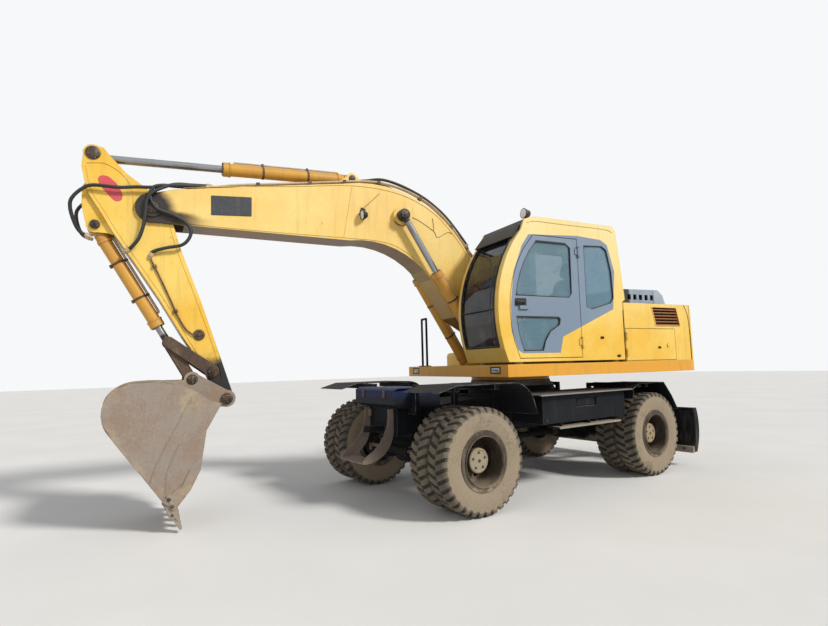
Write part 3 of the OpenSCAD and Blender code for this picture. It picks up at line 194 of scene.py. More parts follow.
@dataclass
class Surface:
    """Grids and plates gathered as one mesh, in millimetres of one place."""

    points: list[Points] = field(default_factory=list)
    faces: list[list[int]] = field(default_factory=list)
    uses: list[int] = field(default_factory=list)
    count: int = 0

    def grid(self, points: Points, ring: bool = False, use: int = 0) -> "Surface":
        """Quads over a grid whose last column joins its first.

        Args:
            points: (rows, columns, 3) places in millimetres.
            ring: joins the last row to the first too, where each would get a face.
            use: index of the finish on these faces.
        """
        n, m = points.shape[:2]
        index = np.arange(n * m).reshape(n, m) + self.count
        a, b = (index, np.roll(index, -1, 0)) if ring else (index[:-1], index[1:])
        quads = np.stack([a, b, np.roll(b, -1, 1), np.roll(a, -1, 1)], -1)
        self.faces += quads.reshape(-1, 4).tolist()
        if not ring:
            self.faces += [index[0].tolist(), index[-1][::-1].tolist()]
        self.uses += [use] * (len(self.faces) - len(self.uses))
        self.points.append(points.reshape(-1, 3))
        self.count += n * m
        return self

    def rim(self, outline: Points, steps: Sequence[tuple[float, float]], y: float = 0.0,
            ahead: bool = False, ring: bool = True, use: int = 0) -> "Surface":
        """An outline's insets, each at its own depth, joined as a section round it.

        Args:
            outline: closed outline in the side view, or in the front view with ahead.
            steps: rows of (inset, depth); the depth runs along y, or along x with ahead.
            y: what is added to the y of every point.
            ahead: draws in the front view.
            ring: closes the section, where the first and last rows would get a face.
            use: index of the finish on these faces.
        """
        rows = []
        for inwards, depth in steps:
            q = inset(outline, inwards)
            front = np.stack([np.full(len(q), depth), y + q[:, 0], q[:, 1]], 1)
            rows.append(front if ahead else on_side(q, y + depth))
        return self.grid(np.stack(rows), ring, use)

    def plate(self, outline: Points, y0: float, y1: float, edge: float = 2.0,
              use: int = 0) -> "Surface":
        """A side-view outline carried from y0 to y1, its rims chamfered by edge."""
        inner = inset(outline, edge)
        rings = ((inner, y0), (outline, y0 + edge), (outline, y1 - edge), (inner, y1))
        return self.grid(np.stack([on_side(o, y) for o, y in rings]), use=use)

    def tube(self, path: Points, radius: float | Points, sides: int = 12,
             across: Sequence[float] = (0, 1, 0), use: int = 0) -> "Surface":
        """A circle carried along a path, each ring square to the path's direction."""
        p = np.asarray(path, float)
        way = np.gradient(p, axis=0)
        way /= np.linalg.norm(way, axis=1, keepdims=True)
        ref = np.asarray(across, float)
        u = ref - (way @ ref)[:, None] * way
        u /= np.maximum(np.linalg.norm(u, axis=1, keepdims=True), 1e-6)
        v = np.cross(way, u)
        a = np.linspace(0, 2 * math.pi, sides, endpoint=False)
        r = np.broadcast_to(np.asarray(radius, float), (len(p),))[:, None, None]
        ring = np.cos(a)[None, :, None] * u[:, None] + np.sin(a)[None, :, None] * v[:, None]
        return self.grid(p[:, None] + r * ring, use=use)

    def turned(self, profile: Sequence[Sequence[float]], centre: Sequence[float],
               axis: Sequence[float] = (0, 1, 0), sides: int = 32,
               corners: bool = False, closed: bool = False, use: int = 0) -> "Surface":
        """A profile of (height, radius) turned round an axis through the centre.

        Args:
            profile: heights along the axis with their radii.
            centre: the place of height 0.
            axis: the way that the heights run.
            sides: points round the axis.
            corners: six sides, as on a bolt's head.
            closed: joins the profile's last point to its first, for a band.
            use: index of the finish on these faces.
        """
        k = np.asarray(axis, float)
        k = k / np.linalg.norm(k)
        u = np.cross(k, [0.0, 0.0, 1.0] if abs(k[2]) < 0.9 else [1.0, 0.0, 0.0])
        u /= np.linalg.norm(u)
        v = np.cross(k, u)
        a = np.linspace(0, 2 * math.pi, 6 if corners else sides, endpoint=False)
        ring = np.cos(a)[:, None] * u + np.sin(a)[:, None] * v
        h, r = np.asarray(profile, float).T
        grid = np.asarray(centre) + h[:, None, None] * k + r[:, None, None] * ring[None]
        return self.grid(grid, closed, use)

    def bolts(self, centres: Points, axis: Sequence[float], radius: float,
              height: float, use: int = 0) -> "Surface":
        """A washer and a chamfered six-sided head at each centre."""
        for centre in np.atleast_2d(np.asarray(centres, float)):
            self.turned([(-1, radius * 1.25), (height * 0.22, radius * 1.25),
                         (height * 0.22, radius * 0.9)], centre, axis, 12, use=use)
            self.turned([(0, radius), (height * 0.85, radius), (height, radius * 0.8),
                         (height, radius * 0.35), (height * 1.25, radius * 0.3)],
                        centre, axis, corners=True, use=use)
        return self

    def block(self, low: Sequence[float], high: Sequence[float], edge: float = 3.0,
              use: int = 0) -> "Surface":
        """A box between two corners with chamfered rims."""
        (x0, y0, z0), (x1, y1, z1) = low, high
        return self.plate(oblong(x0, z0, x1, z1, edge, 2), y0, y1, edge, use)


# Shader maths
def colour(code: str) -> tuple[float, float, float, float]:
    """Linear colour of a six-digit screen colour: each channel's sRGB curve undone."""
    c = [int(code[i:i + 2], 16) / 255 for i in (1, 3, 5)]
    r, g, b = (v / 12.92 if v <= 0.04045 else ((v + 0.055) / 1.055) ** 2.4 for v in c)
    return (r, g, b, 1.0)


def joined(kind: str, swapped: bool = False) -> Callable[["Value", Any], "Value"]:
    """A method that puts a value and another one through a Math node of that kind."""
    def method(self: "Value", other: Any) -> "Value":
        """The two in their order, or swapped where the other one stands first."""
        a, b = (other, self) if swapped else (self, other)
        node = self.graph.node("Math", {"operation": kind}, {0: a, 1: b})
        return Value(self.graph, node.outputs[0])

    return method


class Value:
    """One socket with operators, so that shader maths reads as an expression."""

    def __init__(self, graph: "Graph", socket: bpy.types.NodeSocket) -> None:
        """Wraps a socket of the graph."""
        self.graph, self.socket = graph, socket

    __add__ = __radd__ = joined("ADD")
    __sub__, __rsub__ = joined("SUBTRACT"), joined("SUBTRACT", True)
    __mul__ = __rmul__ = joined("MULTIPLY")
    __gt__, __lt__ = joined("GREATER_THAN"), joined("LESS_THAN")
    least, most = joined("MINIMUM"), joined("MAXIMUM")

    def ramp(self, low: float, high: float) -> "Value":
        """0 at low, 1 at high, eased and held outside."""
        node = self.graph.node("MapRange", {"interpolation_type": "SMOOTHSTEP", "clamp": True},
                               {"Value": self, "From Min": low, "From Max": high})
        return Value(self.graph, node.outputs["Result"])


class Graph:
    """The node tree of one material."""

    def __init__(self, name: str) -> None:
        """Makes an empty material of that name."""
        self.material = bpy.data.materials.new(name)
        self.material.use_nodes = True
        self.tree = self.material.node_tree
        self.tree.nodes.clear()

    def node(self, kind: str, settings: dict[str, Any] | None = None,
             inputs: dict[str | int, Any] | None = None) -> bpy.types.Node:
        """A node of a kind.

        Args:
            kind: the type's name without its ShaderNode prefix.
            settings: attributes, which are set before the sockets.
            inputs: socket names or numbers with a Value, number or tuple.
        """
        made = self.tree.nodes.new("ShaderNode" + kind)
        for key, value in (settings or {}).items():
            setattr(made, key, value)
        for key, value in (inputs or {}).items():
            if isinstance(value, Value):
                self.tree.links.new(value.socket, made.inputs[key])
            else:
                made.inputs[key].default_value = value
        return made

    def mix(self, factor: Any, a: Any, b: Any) -> Value:
        """Colour a turned to colour b by the factor."""
        node = self.node("Mix", {"data_type": "RGBA", "clamp_factor": True},
                         {0: factor, 6: a, 7: b})
        return Value(self, node.outputs[2])

    def coords(self, scale: Sequence[float] = (1, 1, 1)) -> Value:
        """Object coordinates, scaled by a Mapping node."""
        source = Value(self, self.node("TexCoord").outputs["Object"])
        node = self.node("Mapping", {"vector_type": "POINT"}, {"Vector": source, "Scale": scale})
        return Value(self, node.outputs[0])

    def axes(self, vector: Value) -> tuple[Value, Value, Value]:
        """The three parts of a vector."""
        node = self.node("SeparateXYZ", None, {0: vector})
        x, y, z = (Value(self, s) for s in node.outputs)
        return x, y, z

    def noise(self, vector: Value, scale: float, detail: float = 3.0,
              rough: float = 0.55) -> Value:
        """Cloudy noise between about 0.25 and 0.75."""
        node = self.node("TexNoise", None, {"Vector": vector, "Scale": scale, "Detail": detail,
                                            "Roughness": rough})
        return Value(self, node.outputs[0])

    def facing_up(self) -> Value:
        """1 where the piece's own surface looks up, by its object-space normal."""
        return self.axes(Value(self, self.node("TexCoord").outputs["Normal"]))[2]

    def edges(self, radius: float) -> tuple[Value, Value]:
        """Rounded normal, and how far it leaves the true one, which marks edges."""
        bevel = Value(self, self.node("Bevel", {"samples": 4}, {"Radius": radius}).outputs[0])
        plain = Value(self, self.node("NewGeometry").outputs["Normal"])
        dot = self.node("VectorMath", {"operation": "DOT_PRODUCT"}, {0: bevel, 1: plain})
        return bevel, 1 - Value(self, dot.outputs["Value"])

    def finish(self, base: Any, rough: Any, normal: Any = None,
               more: dict[str, Any] | None = None) -> bpy.types.Material:
        """Closes the graph with the surface shader.

        Args:
            base: base colour.
            rough: roughness.
            normal: normal, where it isn't the mesh's own.
            more: other sockets by name, with a number or a Value.
        """
        inputs: dict[str | int, Any] = {"Base Color": base, "Roughness": rough, **(more or {})}
        if normal is not None:
            inputs["Normal"] = normal
        shader = self.node("BsdfPrincipled", None, inputs)
        out = self.node("OutputMaterial")
        self.tree.links.new(shader.outputs[0], out.inputs["Surface"])
        return self.material

    def bump(self, height: Value, strength: float, depth: float,
             normal: Value | None = None) -> Value:
        """Normal pushed by a height."""
        inputs: dict[str | int, Any] = {"Height": height, "Strength": strength, "Distance": depth}
        if normal is not None:
            inputs["Normal"] = normal
        return Value(self, self.node("Bump", None, inputs).outputs[0])


# Finishes
class Pattern(Enum):
    """What a coat of paint carries beyond its own weathering."""

    PLAIN = "plain"
    CAB_SIDE = "slate side panels of the cab"
    HOUSE = "rusty louvres"
    GREASY_TIP = "greasy end of the arm"
    # Grease round the boom's tip pin, and below it a dark band that is grease and painted shade.
    GREASE_AND_SHADE_NOSE = "grease round the boom's tip pin"
    COWL = "silver cowl with a black front"


@dataclass(frozen=True)
class Coat:
    """Weathered paint on steel: faded patches, rain streaks, dust, chips and worn edges, with
    painted shade on faces that look down.
    """

    name: str
    fresh: str
    faded: str
    dirt: str = "#8f7f62"
    chip: str = "#5b3a22"
    edge: str = "#6b4a2c"
    dust: float = 0.35
    streaks: float = 0.25
    chips: float = 0.3
    wear: float = 0.5
    low_dirt: tuple[float, float, float] = (0.2, 0.9, 0.0)
    skirt: tuple[float, str] | None = None
    speckle: float = 0.12
    # How strongly painted shade darkens the faces that look down.
    painted_under_shade: float = 0.0
    bleach: float = 0.0
    shine: float = 0.4
    rough: float = 0.42
    coat: float = 0.12
    metallic: float = 0.0
    pattern: Pattern = Pattern.PLAIN

    def material(self) -> bpy.types.Material:
        """Base of two tones, then each kind of wear and the painted shade mixed over it by its
        own mask.
        """
        g = Graph(self.name)
        p = g.coords()
        z = g.axes(p)[2]
        clouds = g.noise(p, 1.3, 4, 0.6)
        grain = g.noise(p, 38, 4, 0.6)
        base = g.mix(clouds.ramp(0.35, 0.66), colour(self.fresh), colour(self.faded))
        if self.bleach > 0:
            base = g.mix(z.ramp(1.7, 3.2) * self.bleach, base, colour("#f3e3b4"))
        if self.pattern is Pattern.CAB_SIDE:
            base = g.mix(self._slate_mask(g), base,
                         g.mix(clouds, colour("#66788c"), colour("#8092a5")))
            base = g.mix(self._fascia_mask(g), base, colour("#22262c"))
        if self.pattern is Pattern.HOUSE:
            base = g.mix(self._louvre_mask(g), base,
                         g.mix(g.noise(p, 22, 4), colour("#7c4420"), colour("#b2703a")))
        if self.pattern is Pattern.COWL:
            along = self.along(g, UPPER, 0)
            base = g.mix((along + g.noise(p, 3, 2) * 0.04).ramp(-1.32, -1.27), base,
                         colour("#17181a"))
        if self.skirt:
            height, tone = self.skirt
            base = g.mix(1 - z.ramp(height - 0.012, height + 0.012), base, colour(tone))
        drips = g.noise(g.coords((9, 9, 0.8)), 1.6, 5, 0.6).ramp(0.52, 0.72)
        base = g.mix(drips * self.streaks, base, colour(self.dirt))
        base = g.mix(grain.ramp(0.45, 0.75) * self.speckle, base, colour(self.dirt))
        # Painted shade: faces that look down are turned towards dark brown.
        if self.painted_under_shade > 0:
            under_shade = (0 - g.facing_up()).ramp(0.15, 0.85) * self.painted_under_shade
            base = g.mix(under_shade, base, colour("#55301b"))
        flecks = g.noise(p, 11, 7, 0.72).ramp(0.66, 0.69)
        base = g.mix(flecks * self.chips, base, colour(self.chip))
        rounded_normal, turn = g.edges(0.009)
        worn = turn.ramp(0.02, 0.22) * g.noise(p, 7, 5, 0.7).ramp(0.38, 0.6) * self.wear
        base = g.mix(worn, base, colour(self.edge))
        up = g.facing_up().ramp(0.25, 0.95)
        dust = up * (0.45 + g.noise(p, 5, 5, 0.65)) * self.dust
        if self.low_dirt[2] > 0:
            low, high, amount = self.low_dirt
            mud = (1 - z.ramp(low, high)) * g.noise(p, 4, 6, 0.7).ramp(0.36, 0.6) * amount
            dust = dust.most(mud)
        if self.pattern is Pattern.GREASY_TIP:
            along = self.along(g, ARM, 0)
            grease = (along + g.noise(p, 6, 4) * 0.5).ramp(1.72, 1.95)
            base = g.mix(grease, base, colour("#1b1713"))
        if self.pattern is Pattern.GREASE_AND_SHADE_NOSE:
            along, above = self.along(g, BOOM, 0) - 4.475, self.along(g, BOOM, 2)
            blur = g.noise(p, 5, 4) * 0.06
            reach = along * along + above * above + blur
            base = g.mix(1 - reach.ramp(0.045, 0.085), base, colour("#1d1815"))
            # Grease and painted shade: a dark band on the nose's lower part, below a slanted
            # line.
            low = above + along * 0.16 - blur * 1.5
            base = g.mix((1 - low.ramp(-0.06, 0.0)) * (along + blur).ramp(-0.62, -0.2), base,
                         colour("#2a1f18"))
        base = g.mix(dust, base, colour(self.dirt))
        rough = self.rough + dust * 0.4 + worn * 0.2 + grain * 0.12
        height = grain * 0.25 + flecks * 0.5 + dust * 0.4
        normal = g.bump(height, 0.25, 0.002, rounded_normal)
        return g.finish(base, rough, normal, {"Metallic": self.metallic,
                                              "Coat Weight": self.coat,
                                              "Specular IOR Level": self.shine,
                                              "Coat Roughness": 0.25})

    @staticmethod
    def along(g: Graph, place: Place, axis: int) -> Value:
        """Metres from a place's origin along one of its axes: a dot product."""
        way = (place.forward, place.left, place.up)[axis]
        dot = g.node("VectorMath", {"operation": "DOT_PRODUCT"},
                     {0: g.coords(), 1: tuple(float(c) for c in way)})
        return Value(g, dot.outputs["Value"]) - float(place.origin @ way)

    def _upper(self, g: Graph) -> list[Value]:
        """The upper structure's own coordinates, in metres."""
        return [self.along(g, UPPER, axis) for axis in range(3)]

    @staticmethod
    def _inside(x: Value, z: Value, edge: Sequence[float]) -> Value:
        """1 on the right of an edge (x0, z0, x1, z1): the sign of a cross product."""
        x0, z0, x1, z1 = edge
        return (x * (z1 - z0) - z * (x1 - x0)) > (x0 * (z1 - z0) - z0 * (x1 - x0))

    def _slate_mask(self, g: Graph) -> Value:
        """Right of every edge round the slate panels, with one inward corner at the rear."""
        x, y, z = self._upper(g)
        rim = [(-0.688, 2.079), (-0.741, 2.542), (-0.644, 2.866), (-0.539, 2.920),
               (-0.170, 2.939), (0.544, 2.897), (0.644, 2.765), (0.773, 2.457),
               (0.826, 2.088), (0.830, 1.798), (0.752, 1.599), (0.688, 1.563), (0.163, 1.563)]
        mask = y > 1.12
        for start, end in zip(rim[:-1], rim[1:]):
            mask = mask * self._inside(x, z, (*start, *end))
        return mask * self._inside(x, z, (0.163, 1.563, 0.114, 1.745)).most(
            self._inside(x, z, (0.114, 1.745, -0.688, 2.079)))

    def _fascia_mask(self, g: Graph) -> Value:
        """The roof's front edge over the windscreen, between the two posts."""
        x, y, z = self._upper(g)
        return (x > 0.585) * (z > 2.93) * (y > 0.40) * (y < 1.18)

    def _louvre_mask(self, g: Graph) -> Value:
        """The slanted louvre window on both sides of the house."""
        x, _, z = self._upper(g)
        lean = x - (z - 1.89) * 0.25
        return (z > 1.888) * (z < 2.12) * (lean < -1.40) * (lean > -1.845)


@dataclass(frozen=True)
class Bare:
    """Bare or worn metal with rust blooms, grease and dry mud."""

    name: str
    metal: str
    rust: str = "#6a4a33"
    rusty: float = 0.5
    mud: str = "#a08b6c"
    muddy: float = 0.3
    rough: float = 0.5
    metallic: float = 0.75
    scratches: float = 0.3

    def material(self) -> bpy.types.Material:
        """Metal under rust clouds, scratches drawn out along z, mud where it lies."""
        g = Graph(self.name)
        p = g.coords()
        clouds = g.noise(p, 3.5, 6, 0.68)
        grain = g.noise(p, 55, 4, 0.6)
        rust = (clouds * 0.75 + grain * 0.25).ramp(0.42, 0.62) * self.rusty
        lines = g.noise(g.coords((26, 26, 2.2)), 2.0, 3).ramp(0.58, 0.7) * self.scratches
        base = g.mix(grain * 0.35, colour(self.metal), (0.02, 0.018, 0.016, 1))
        base = g.mix(rust, base, g.mix(grain, colour(self.rust), colour("#8a5a33")))
        base = g.mix(lines, base, colour("#b9b0a2"))
        rounded_normal, turn = g.edges(0.008)
        worn = turn.ramp(0.02, 0.2) * g.noise(p, 8, 4).ramp(0.4, 0.6)
        base = g.mix(worn * 0.6, base, colour("#a59a8b"))
        up = g.facing_up().ramp(0.1, 0.9)
        mud = (up * 0.6 + g.noise(p, 2.4, 6, 0.7).ramp(0.48, 0.66)) * self.muddy
        base = g.mix(mud, base, colour(self.mud))
        rough = self.rough + rust * 0.3 + mud * 0.4 - lines * 0.1
        normal = g.bump(grain * 0.4 + clouds * 0.6 + mud * 0.8, 0.35, 0.004, rounded_normal)
        metallic = (1 - rust) * (1 - mud) * self.metallic
        return g.finish(base, rough, normal, {"Metallic": metallic})


@dataclass(frozen=True)
class Tyre:
    """Rubber under dry beige dust, darker in the grooves between the lugs."""

    name: str = "tyre_rubber"

    def material(self) -> bpy.types.Material:
        """Dust by clouds and by the piece's own attributes: groove depth, and tread or side, the
        tread's thinner dust being partly painted shade.
        """
        g = Graph(self.name)
        p = g.coords()
        groove = Value(g, g.node("Attribute", {"attribute_name": "groove"}).outputs["Fac"])
        clouds = g.noise(p, 3.2, 6, 0.7)
        grain = g.noise(p, 70, 4, 0.65)
        rubber = g.mix(grain, colour("#24221f"), colour("#3a3732"))
        dusty = g.mix(grain, colour("#7e705d"), colour("#a5957e"))
        dust_and_tread_shade = (clouds * 0.7 + grain * 0.3).ramp(0.22, 0.5) * (1 - groove * 0.92)
        # Less dust on the tread: partly painted shade, which keeps the tread dark.
        tread = Value(g, g.node("Attribute", {"attribute_name": "tread"}).outputs["Fac"])
        dust_and_tread_shade = dust_and_tread_shade * (1 - tread * (0.35 + clouds.ramp(0.35, 0.6) * 0.4))
        base = g.mix(dust_and_tread_shade * 0.94, rubber, dusty)
        patches = g.noise(p, 9, 4).ramp(0.58, 0.7)
        base = g.mix(patches * 0.25, base, colour("#6f6350"))
        normal = g.bump(grain * 0.6 + clouds * 0.4, 0.4, 0.003)
        return g.finish(base, 0.82 + grain * 0.12, normal)


@dataclass(frozen=True)
class Glass:
    """Tinted pane: mostly see-through, with clouds of a dust film."""

    name: str
    tint: str
    opaque: float
    dust: float = 0.25
    behind: tuple[float, str, float] | None = None

    def material(self) -> bpy.types.Material:
        """Alpha mixes the tint in, and clouds of dust make it less clear."""
        g = Graph(self.name)
        p = g.coords()
        film = g.noise(p, 4, 5, 0.65).ramp(0.45, 0.75) * self.dust
        wipe = g.noise(g.coords((2, 2, 14)), 1.5, 3).ramp(0.5, 0.8) * self.dust * 0.4
        tint: Any = colour(self.tint)
        opaque: Any = self.opaque
        if self.behind:
            limit, tone, dense = self.behind
            back = Coat.along(g, UPPER, 0) < limit
            tint = g.mix(back, tint, colour(tone))
            opaque = back * (dense - self.opaque) + self.opaque
        base = g.mix(film, tint, colour("#b9b5a6"))
        alpha = (film * 0.6 + wipe + opaque).least(1.0)
        return g.finish(base, film * 0.5 + 0.03, None, {
            "IOR": 1.45, "Coat Weight": 0.1, "Coat Roughness": 0.02, "Alpha": alpha})


@dataclass(frozen=True)
class Moulded:
    """Rubber, plastic or cloth: a grain, a dusty top and a soft sheen by its roughness."""

    name: str
    tone: str
    worn: str
    grain: float = 60.0
    rough: float = 0.6
    dust: float = 0.3
    depth: float = 0.0015

    def material(self) -> bpy.types.Material:
        """Two tones by a fine grain, with dust on what faces up."""
        g = Graph(self.name)
        p = g.coords()
        grain = g.noise(p, self.grain, 4, 0.6)
        clouds = g.noise(p, 4, 4)
        base = g.mix(clouds.ramp(0.4, 0.65) * 0.6 + grain * 0.3, colour(self.tone),
                     colour(self.worn))
        dust = g.facing_up().ramp(0.2, 1.0) * (0.4 + clouds) * self.dust
        base = g.mix(dust, base, colour("#a39679"))
        normal = g.bump(grain, 0.35, self.depth)
        return g.finish(base, self.rough + dust * 0.25 + grain * 0.1, normal)


@dataclass(frozen=True)
class Chrome:
    """Plated rod: bright, with fine rings, a few dull patches and black grease at its eyes."""

    name: str = "rod_chrome"
    eyes: tuple[tuple[Place, float, float], ...] = ((BOOM, 1.953, 0.991), (ARM, -0.643, 0.313),
                                                    (ARM, 1.302, 0.305))

    def material(self) -> bpy.types.Material:
        """Roughness by clouds, tone by an oily film and by the distance from each eye."""
        g = Graph(self.name)
        p = g.coords()
        film = g.noise(p, 6, 5, 0.6).ramp(0.45, 0.7)
        base = g.mix(film * 0.5, colour("#9b9da1"), colour("#635c53"))
        grease: Any = 0.0
        for place, x, z in self.eyes:
            along, above = Coat.along(g, place, 0) - x, Coat.along(g, place, 2) - z
            reach = along * along + above * above + g.noise(p, 9, 3) * 0.004
            grease = (1 - reach.ramp(0.009, 0.014)).most(grease)
        base = g.mix(grease, base, colour("#1c1815"))
        normal = g.bump(g.noise(p, 120, 2), 0.08, 0.0005)
        return g.finish(base, film * 0.25 + 0.16 + grease * 0.3, normal,
                        {"Metallic": (1 - grease) * 0.9})


@dataclass(frozen=True)
class Lens:
    """Lamp lens: pale ribbed glass over a bright reflector."""

    name: str = "lamp_lens"

    def material(self) -> bpy.types.Material:
        """Ribs by a wave across the lens feed the bump and the tone."""
        g = Graph(self.name)
        wave = g.node("TexWave", {"wave_type": "BANDS", "bands_direction": "Y"},
                      {"Vector": g.coords(), "Scale": 28.0})
        ribs = Value(g, wave.outputs["Fac"])
        base = g.mix(ribs, colour("#c6ccd2"), colour("#f2f4f5"))
        return g.finish(base, 0.12 + g.noise(g.coords(), 30, 3) * 0.2,
                        g.bump(ribs, 0.4, 0.002), {"Coat Weight": 0.6})


# Yellow paint carries painted shade on its downward faces.
YELLOW = dict(fresh="#e6b538", faded="#edc863", painted_under_shade=0.85)
BLACK = dict(fresh="#101217", faded="#1a1c21", dirt="#6f6a60", chip="#3b3128", edge="#7d7a75",
             rough=0.6, speckle=0.03, coat=0.0, shine=0.12)
FINISHES = (
    Coat("boom_paint", **YELLOW, dust=0.2, streaks=0.16, chips=0.35, wear=0.35,
         bleach=0.25, pattern=Pattern.GREASE_AND_SHADE_NOSE),
    Coat("deck_yellow", **YELLOW, dust=0.25, streaks=0.3, skirt=(1.445, "#dc9c27")),
    Coat("cab_paint", **YELLOW, dust=0.2, streaks=0.12, bleach=0.55,
         pattern=Pattern.CAB_SIDE),
    Coat("house_paint", **YELLOW, dust=0.2, streaks=0.14, bleach=0.5,
         pattern=Pattern.HOUSE),
    Coat("arm_paint", **YELLOW, dust=0.18, streaks=0.22, chips=0.5,
         pattern=Pattern.GREASY_TIP),
    Coat("cylinder_paint", fresh="#d09c35", faded="#c2893d", chip="#6b3f1f", dust=0.25,
         streaks=0.5, chips=0.9, wear=0.8, rough=0.5),
    Coat("chassis_black", **BLACK, dust=0.12, streaks=0.05, chips=0.3, wear=0.7,
         low_dirt=(0.35, 1.0, 0.08)),
    # Pale worn edges: worn paint, and a painted highlight along the fender's edges.
    Coat("fender_black", **{**BLACK, "edge": "#a3a09a"}, dust=0.1, streaks=0.05,
         chips=0.3, wear=1.0, low_dirt=(0.35, 1.0, 0.08)),
    Coat("step_worn", fresh="#75685f", faded="#98897b", dirt="#a08d7e", chip="#3b3128",
         edge="#a89b90", rough=0.7, coat=0.0, dust=0.4, wear=0.8, shine=0.2),
    Coat("step_black", **BLACK, dust=0.35, streaks=0.12, chips=0.4, wear=0.9,
         low_dirt=(0.3, 0.9, 0.3)),
    Coat("blade_black", **BLACK, dust=0.2, chips=0.4, wear=0.9,
         low_dirt=(0.15, 0.5, 0.2)),
    Coat("toolbox_blue", fresh="#111d40", faded="#182852", dirt="#5d5a55",
         edge="#2a3040", dust=0.1, streaks=0.05, rough=0.5, speckle=0.04, coat=0.0,
         shine=0.2, skirt=(1.13, "#12161f")),
    Coat("cowl_grey", fresh="#a3b2c4", faded="#8494a6", dirt="#4b4740", chip="#2f2b27",
         edge="#5b5b5b", dust=0.25, streaks=0.5, chips=0.9, pattern=Pattern.COWL),
    Coat("rim_paint", fresh="#2c241d", faded="#3b3027", dirt="#a5947c", edge="#a08f78",
         chip="#4a3828", dust=0.2, streaks=0.2, chips=0.6, wear=0.9, rough=0.65,
         low_dirt=(0.20, 0.42, 0.95)),
    Coat("signal_red", fresh="#d2464e", faded="#c9555c", dust=0.1, chips=0.3),
    Coat("slate_dark", fresh="#2c3036", faded="#373c44", dust=0.1, chips=0.1),
    Bare("bucket_steel", "#9c9084", rust="#8b7966", rusty=0.45, mud="#b3a082",
         muddy=0.6, metallic=0.15, rough=0.65, scratches=0.12),
    Bare("tread_plate", "#8f8f90", rust="#5e5850", rusty=0.35, mud="#9a9184",
         muddy=0.25, metallic=0.45, rough=0.45, scratches=0.5),
    Bare("bar_dusty", "#9c9384", rust="#7d7260", rusty=0.3, mud="#b3a68f", muddy=0.6,
         metallic=0.1, rough=0.7),
    Bare("cast_rusty", "#4a3a30", rust="#573d2c", rusty=0.7, muddy=0.2, metallic=0.3,
         rough=0.6, scratches=0.1),
    Bare("greasy_iron", "#1d1a18", rust="#3b2a1f", rusty=0.35, muddy=0.12,
         metallic=0.4, rough=0.35),
    Bare("hub_dusty", "#a79b84", rust="#7b6247", rusty=0.3, muddy=0.6, metallic=0.1,
         rough=0.7),
    Bare("pipe_steel", "#d2bd99", rust="#9a7650", rusty=0.35, muddy=0.2, metallic=0.1),
    Bare("rusty_pipe", "#4d3a2b", rusty=0.7, muddy=0.15, metallic=0.3),
    Bare("ring_steel", "#6b665e", rusty=0.6, muddy=0.5),
    Chrome(), Tyre(), Lens(),
    Glass("windscreen_tint", "#101e2d", 0.74, 0.14, (-0.2, "#6f95ab", 0.5)),
    Glass("side_tint", "#7da3b5", 0.34, 0.2),
    Moulded("hose_rubber", "#141516", "#2a2b2c", 90, 0.5, 0.2),
    Moulded("seal_rubber", "#101112", "#232425", 70, 0.65, 0.25),
    Moulded("cab_plastic", "#33353a", "#43454a", 140, 0.55, 0.25),
    Moulded("seat_cloth", "#3f444c", "#585c63", 420, 0.85, 0.2, 0.002),
    Moulded("dark_gap", "#0b0b0c", "#161514", 60, 0.8, 0.05),
)


# Workshop
@dataclass
class Workshop:
    """Turns surfaces into pieces that ride on their bodies."""

    finishes: dict[str, bpy.types.Material]

    def piece(self, name: str, surface: Surface, place: Place, finish: str | Sequence[str],
              body: str, crease: float = 35.0) -> bpy.types.Object:
        """A finished object at the origin, with its place in its mesh.

        Args:
            name: the piece's name.
            surface: its grids, in millimetres of the place.
            place: the axes they are drawn in.
            finish: finish names, one per use index of the surface.
            body: the body it rides on, or empty for a piece on no body.
            crease: angle in degrees past which an edge stays sharp.

        Returns:
            The new object.
        """
        mesh = bpy.data.meshes.new(name)
        mesh.from_pydata(place.out(np.vstack(surface.points)).tolist(), [], surface.faces)
        names = [finish] if isinstance(finish, str) else list(finish)
        for each in names:
            mesh.materials.append(self.finishes[each])
        mesh.polygons.foreach_set("material_index", surface.uses)
        shape = bmesh.new()
        shape.from_mesh(mesh)
        bmesh.ops.recalc_face_normals(shape, faces=shape.faces)
        shape.to_mesh(mesh)
        shape.free()
        mesh.shade_smooth()
        mesh.set_sharp_from_angle(angle=math.radians(crease))
        mesh.update()
        made = bpy.data.objects.new(name, mesh)
        bpy.context.scene.collection.objects.link(made)
        if body:
            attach(made, body)
        LOG.info("%s: %d faces on %s", name, len(mesh.polygons), body or "two bodies")
        return made

    def coat_node(self, node: str, finish: str) -> None:
        """Gives a CAD node its finish in its object's material slots."""
        made = NODES[node]
        if not made.material_slots:
            made.data.materials.append(self.finishes[finish])
        for held in made.material_slots:
            held.material = self.finishes[finish]


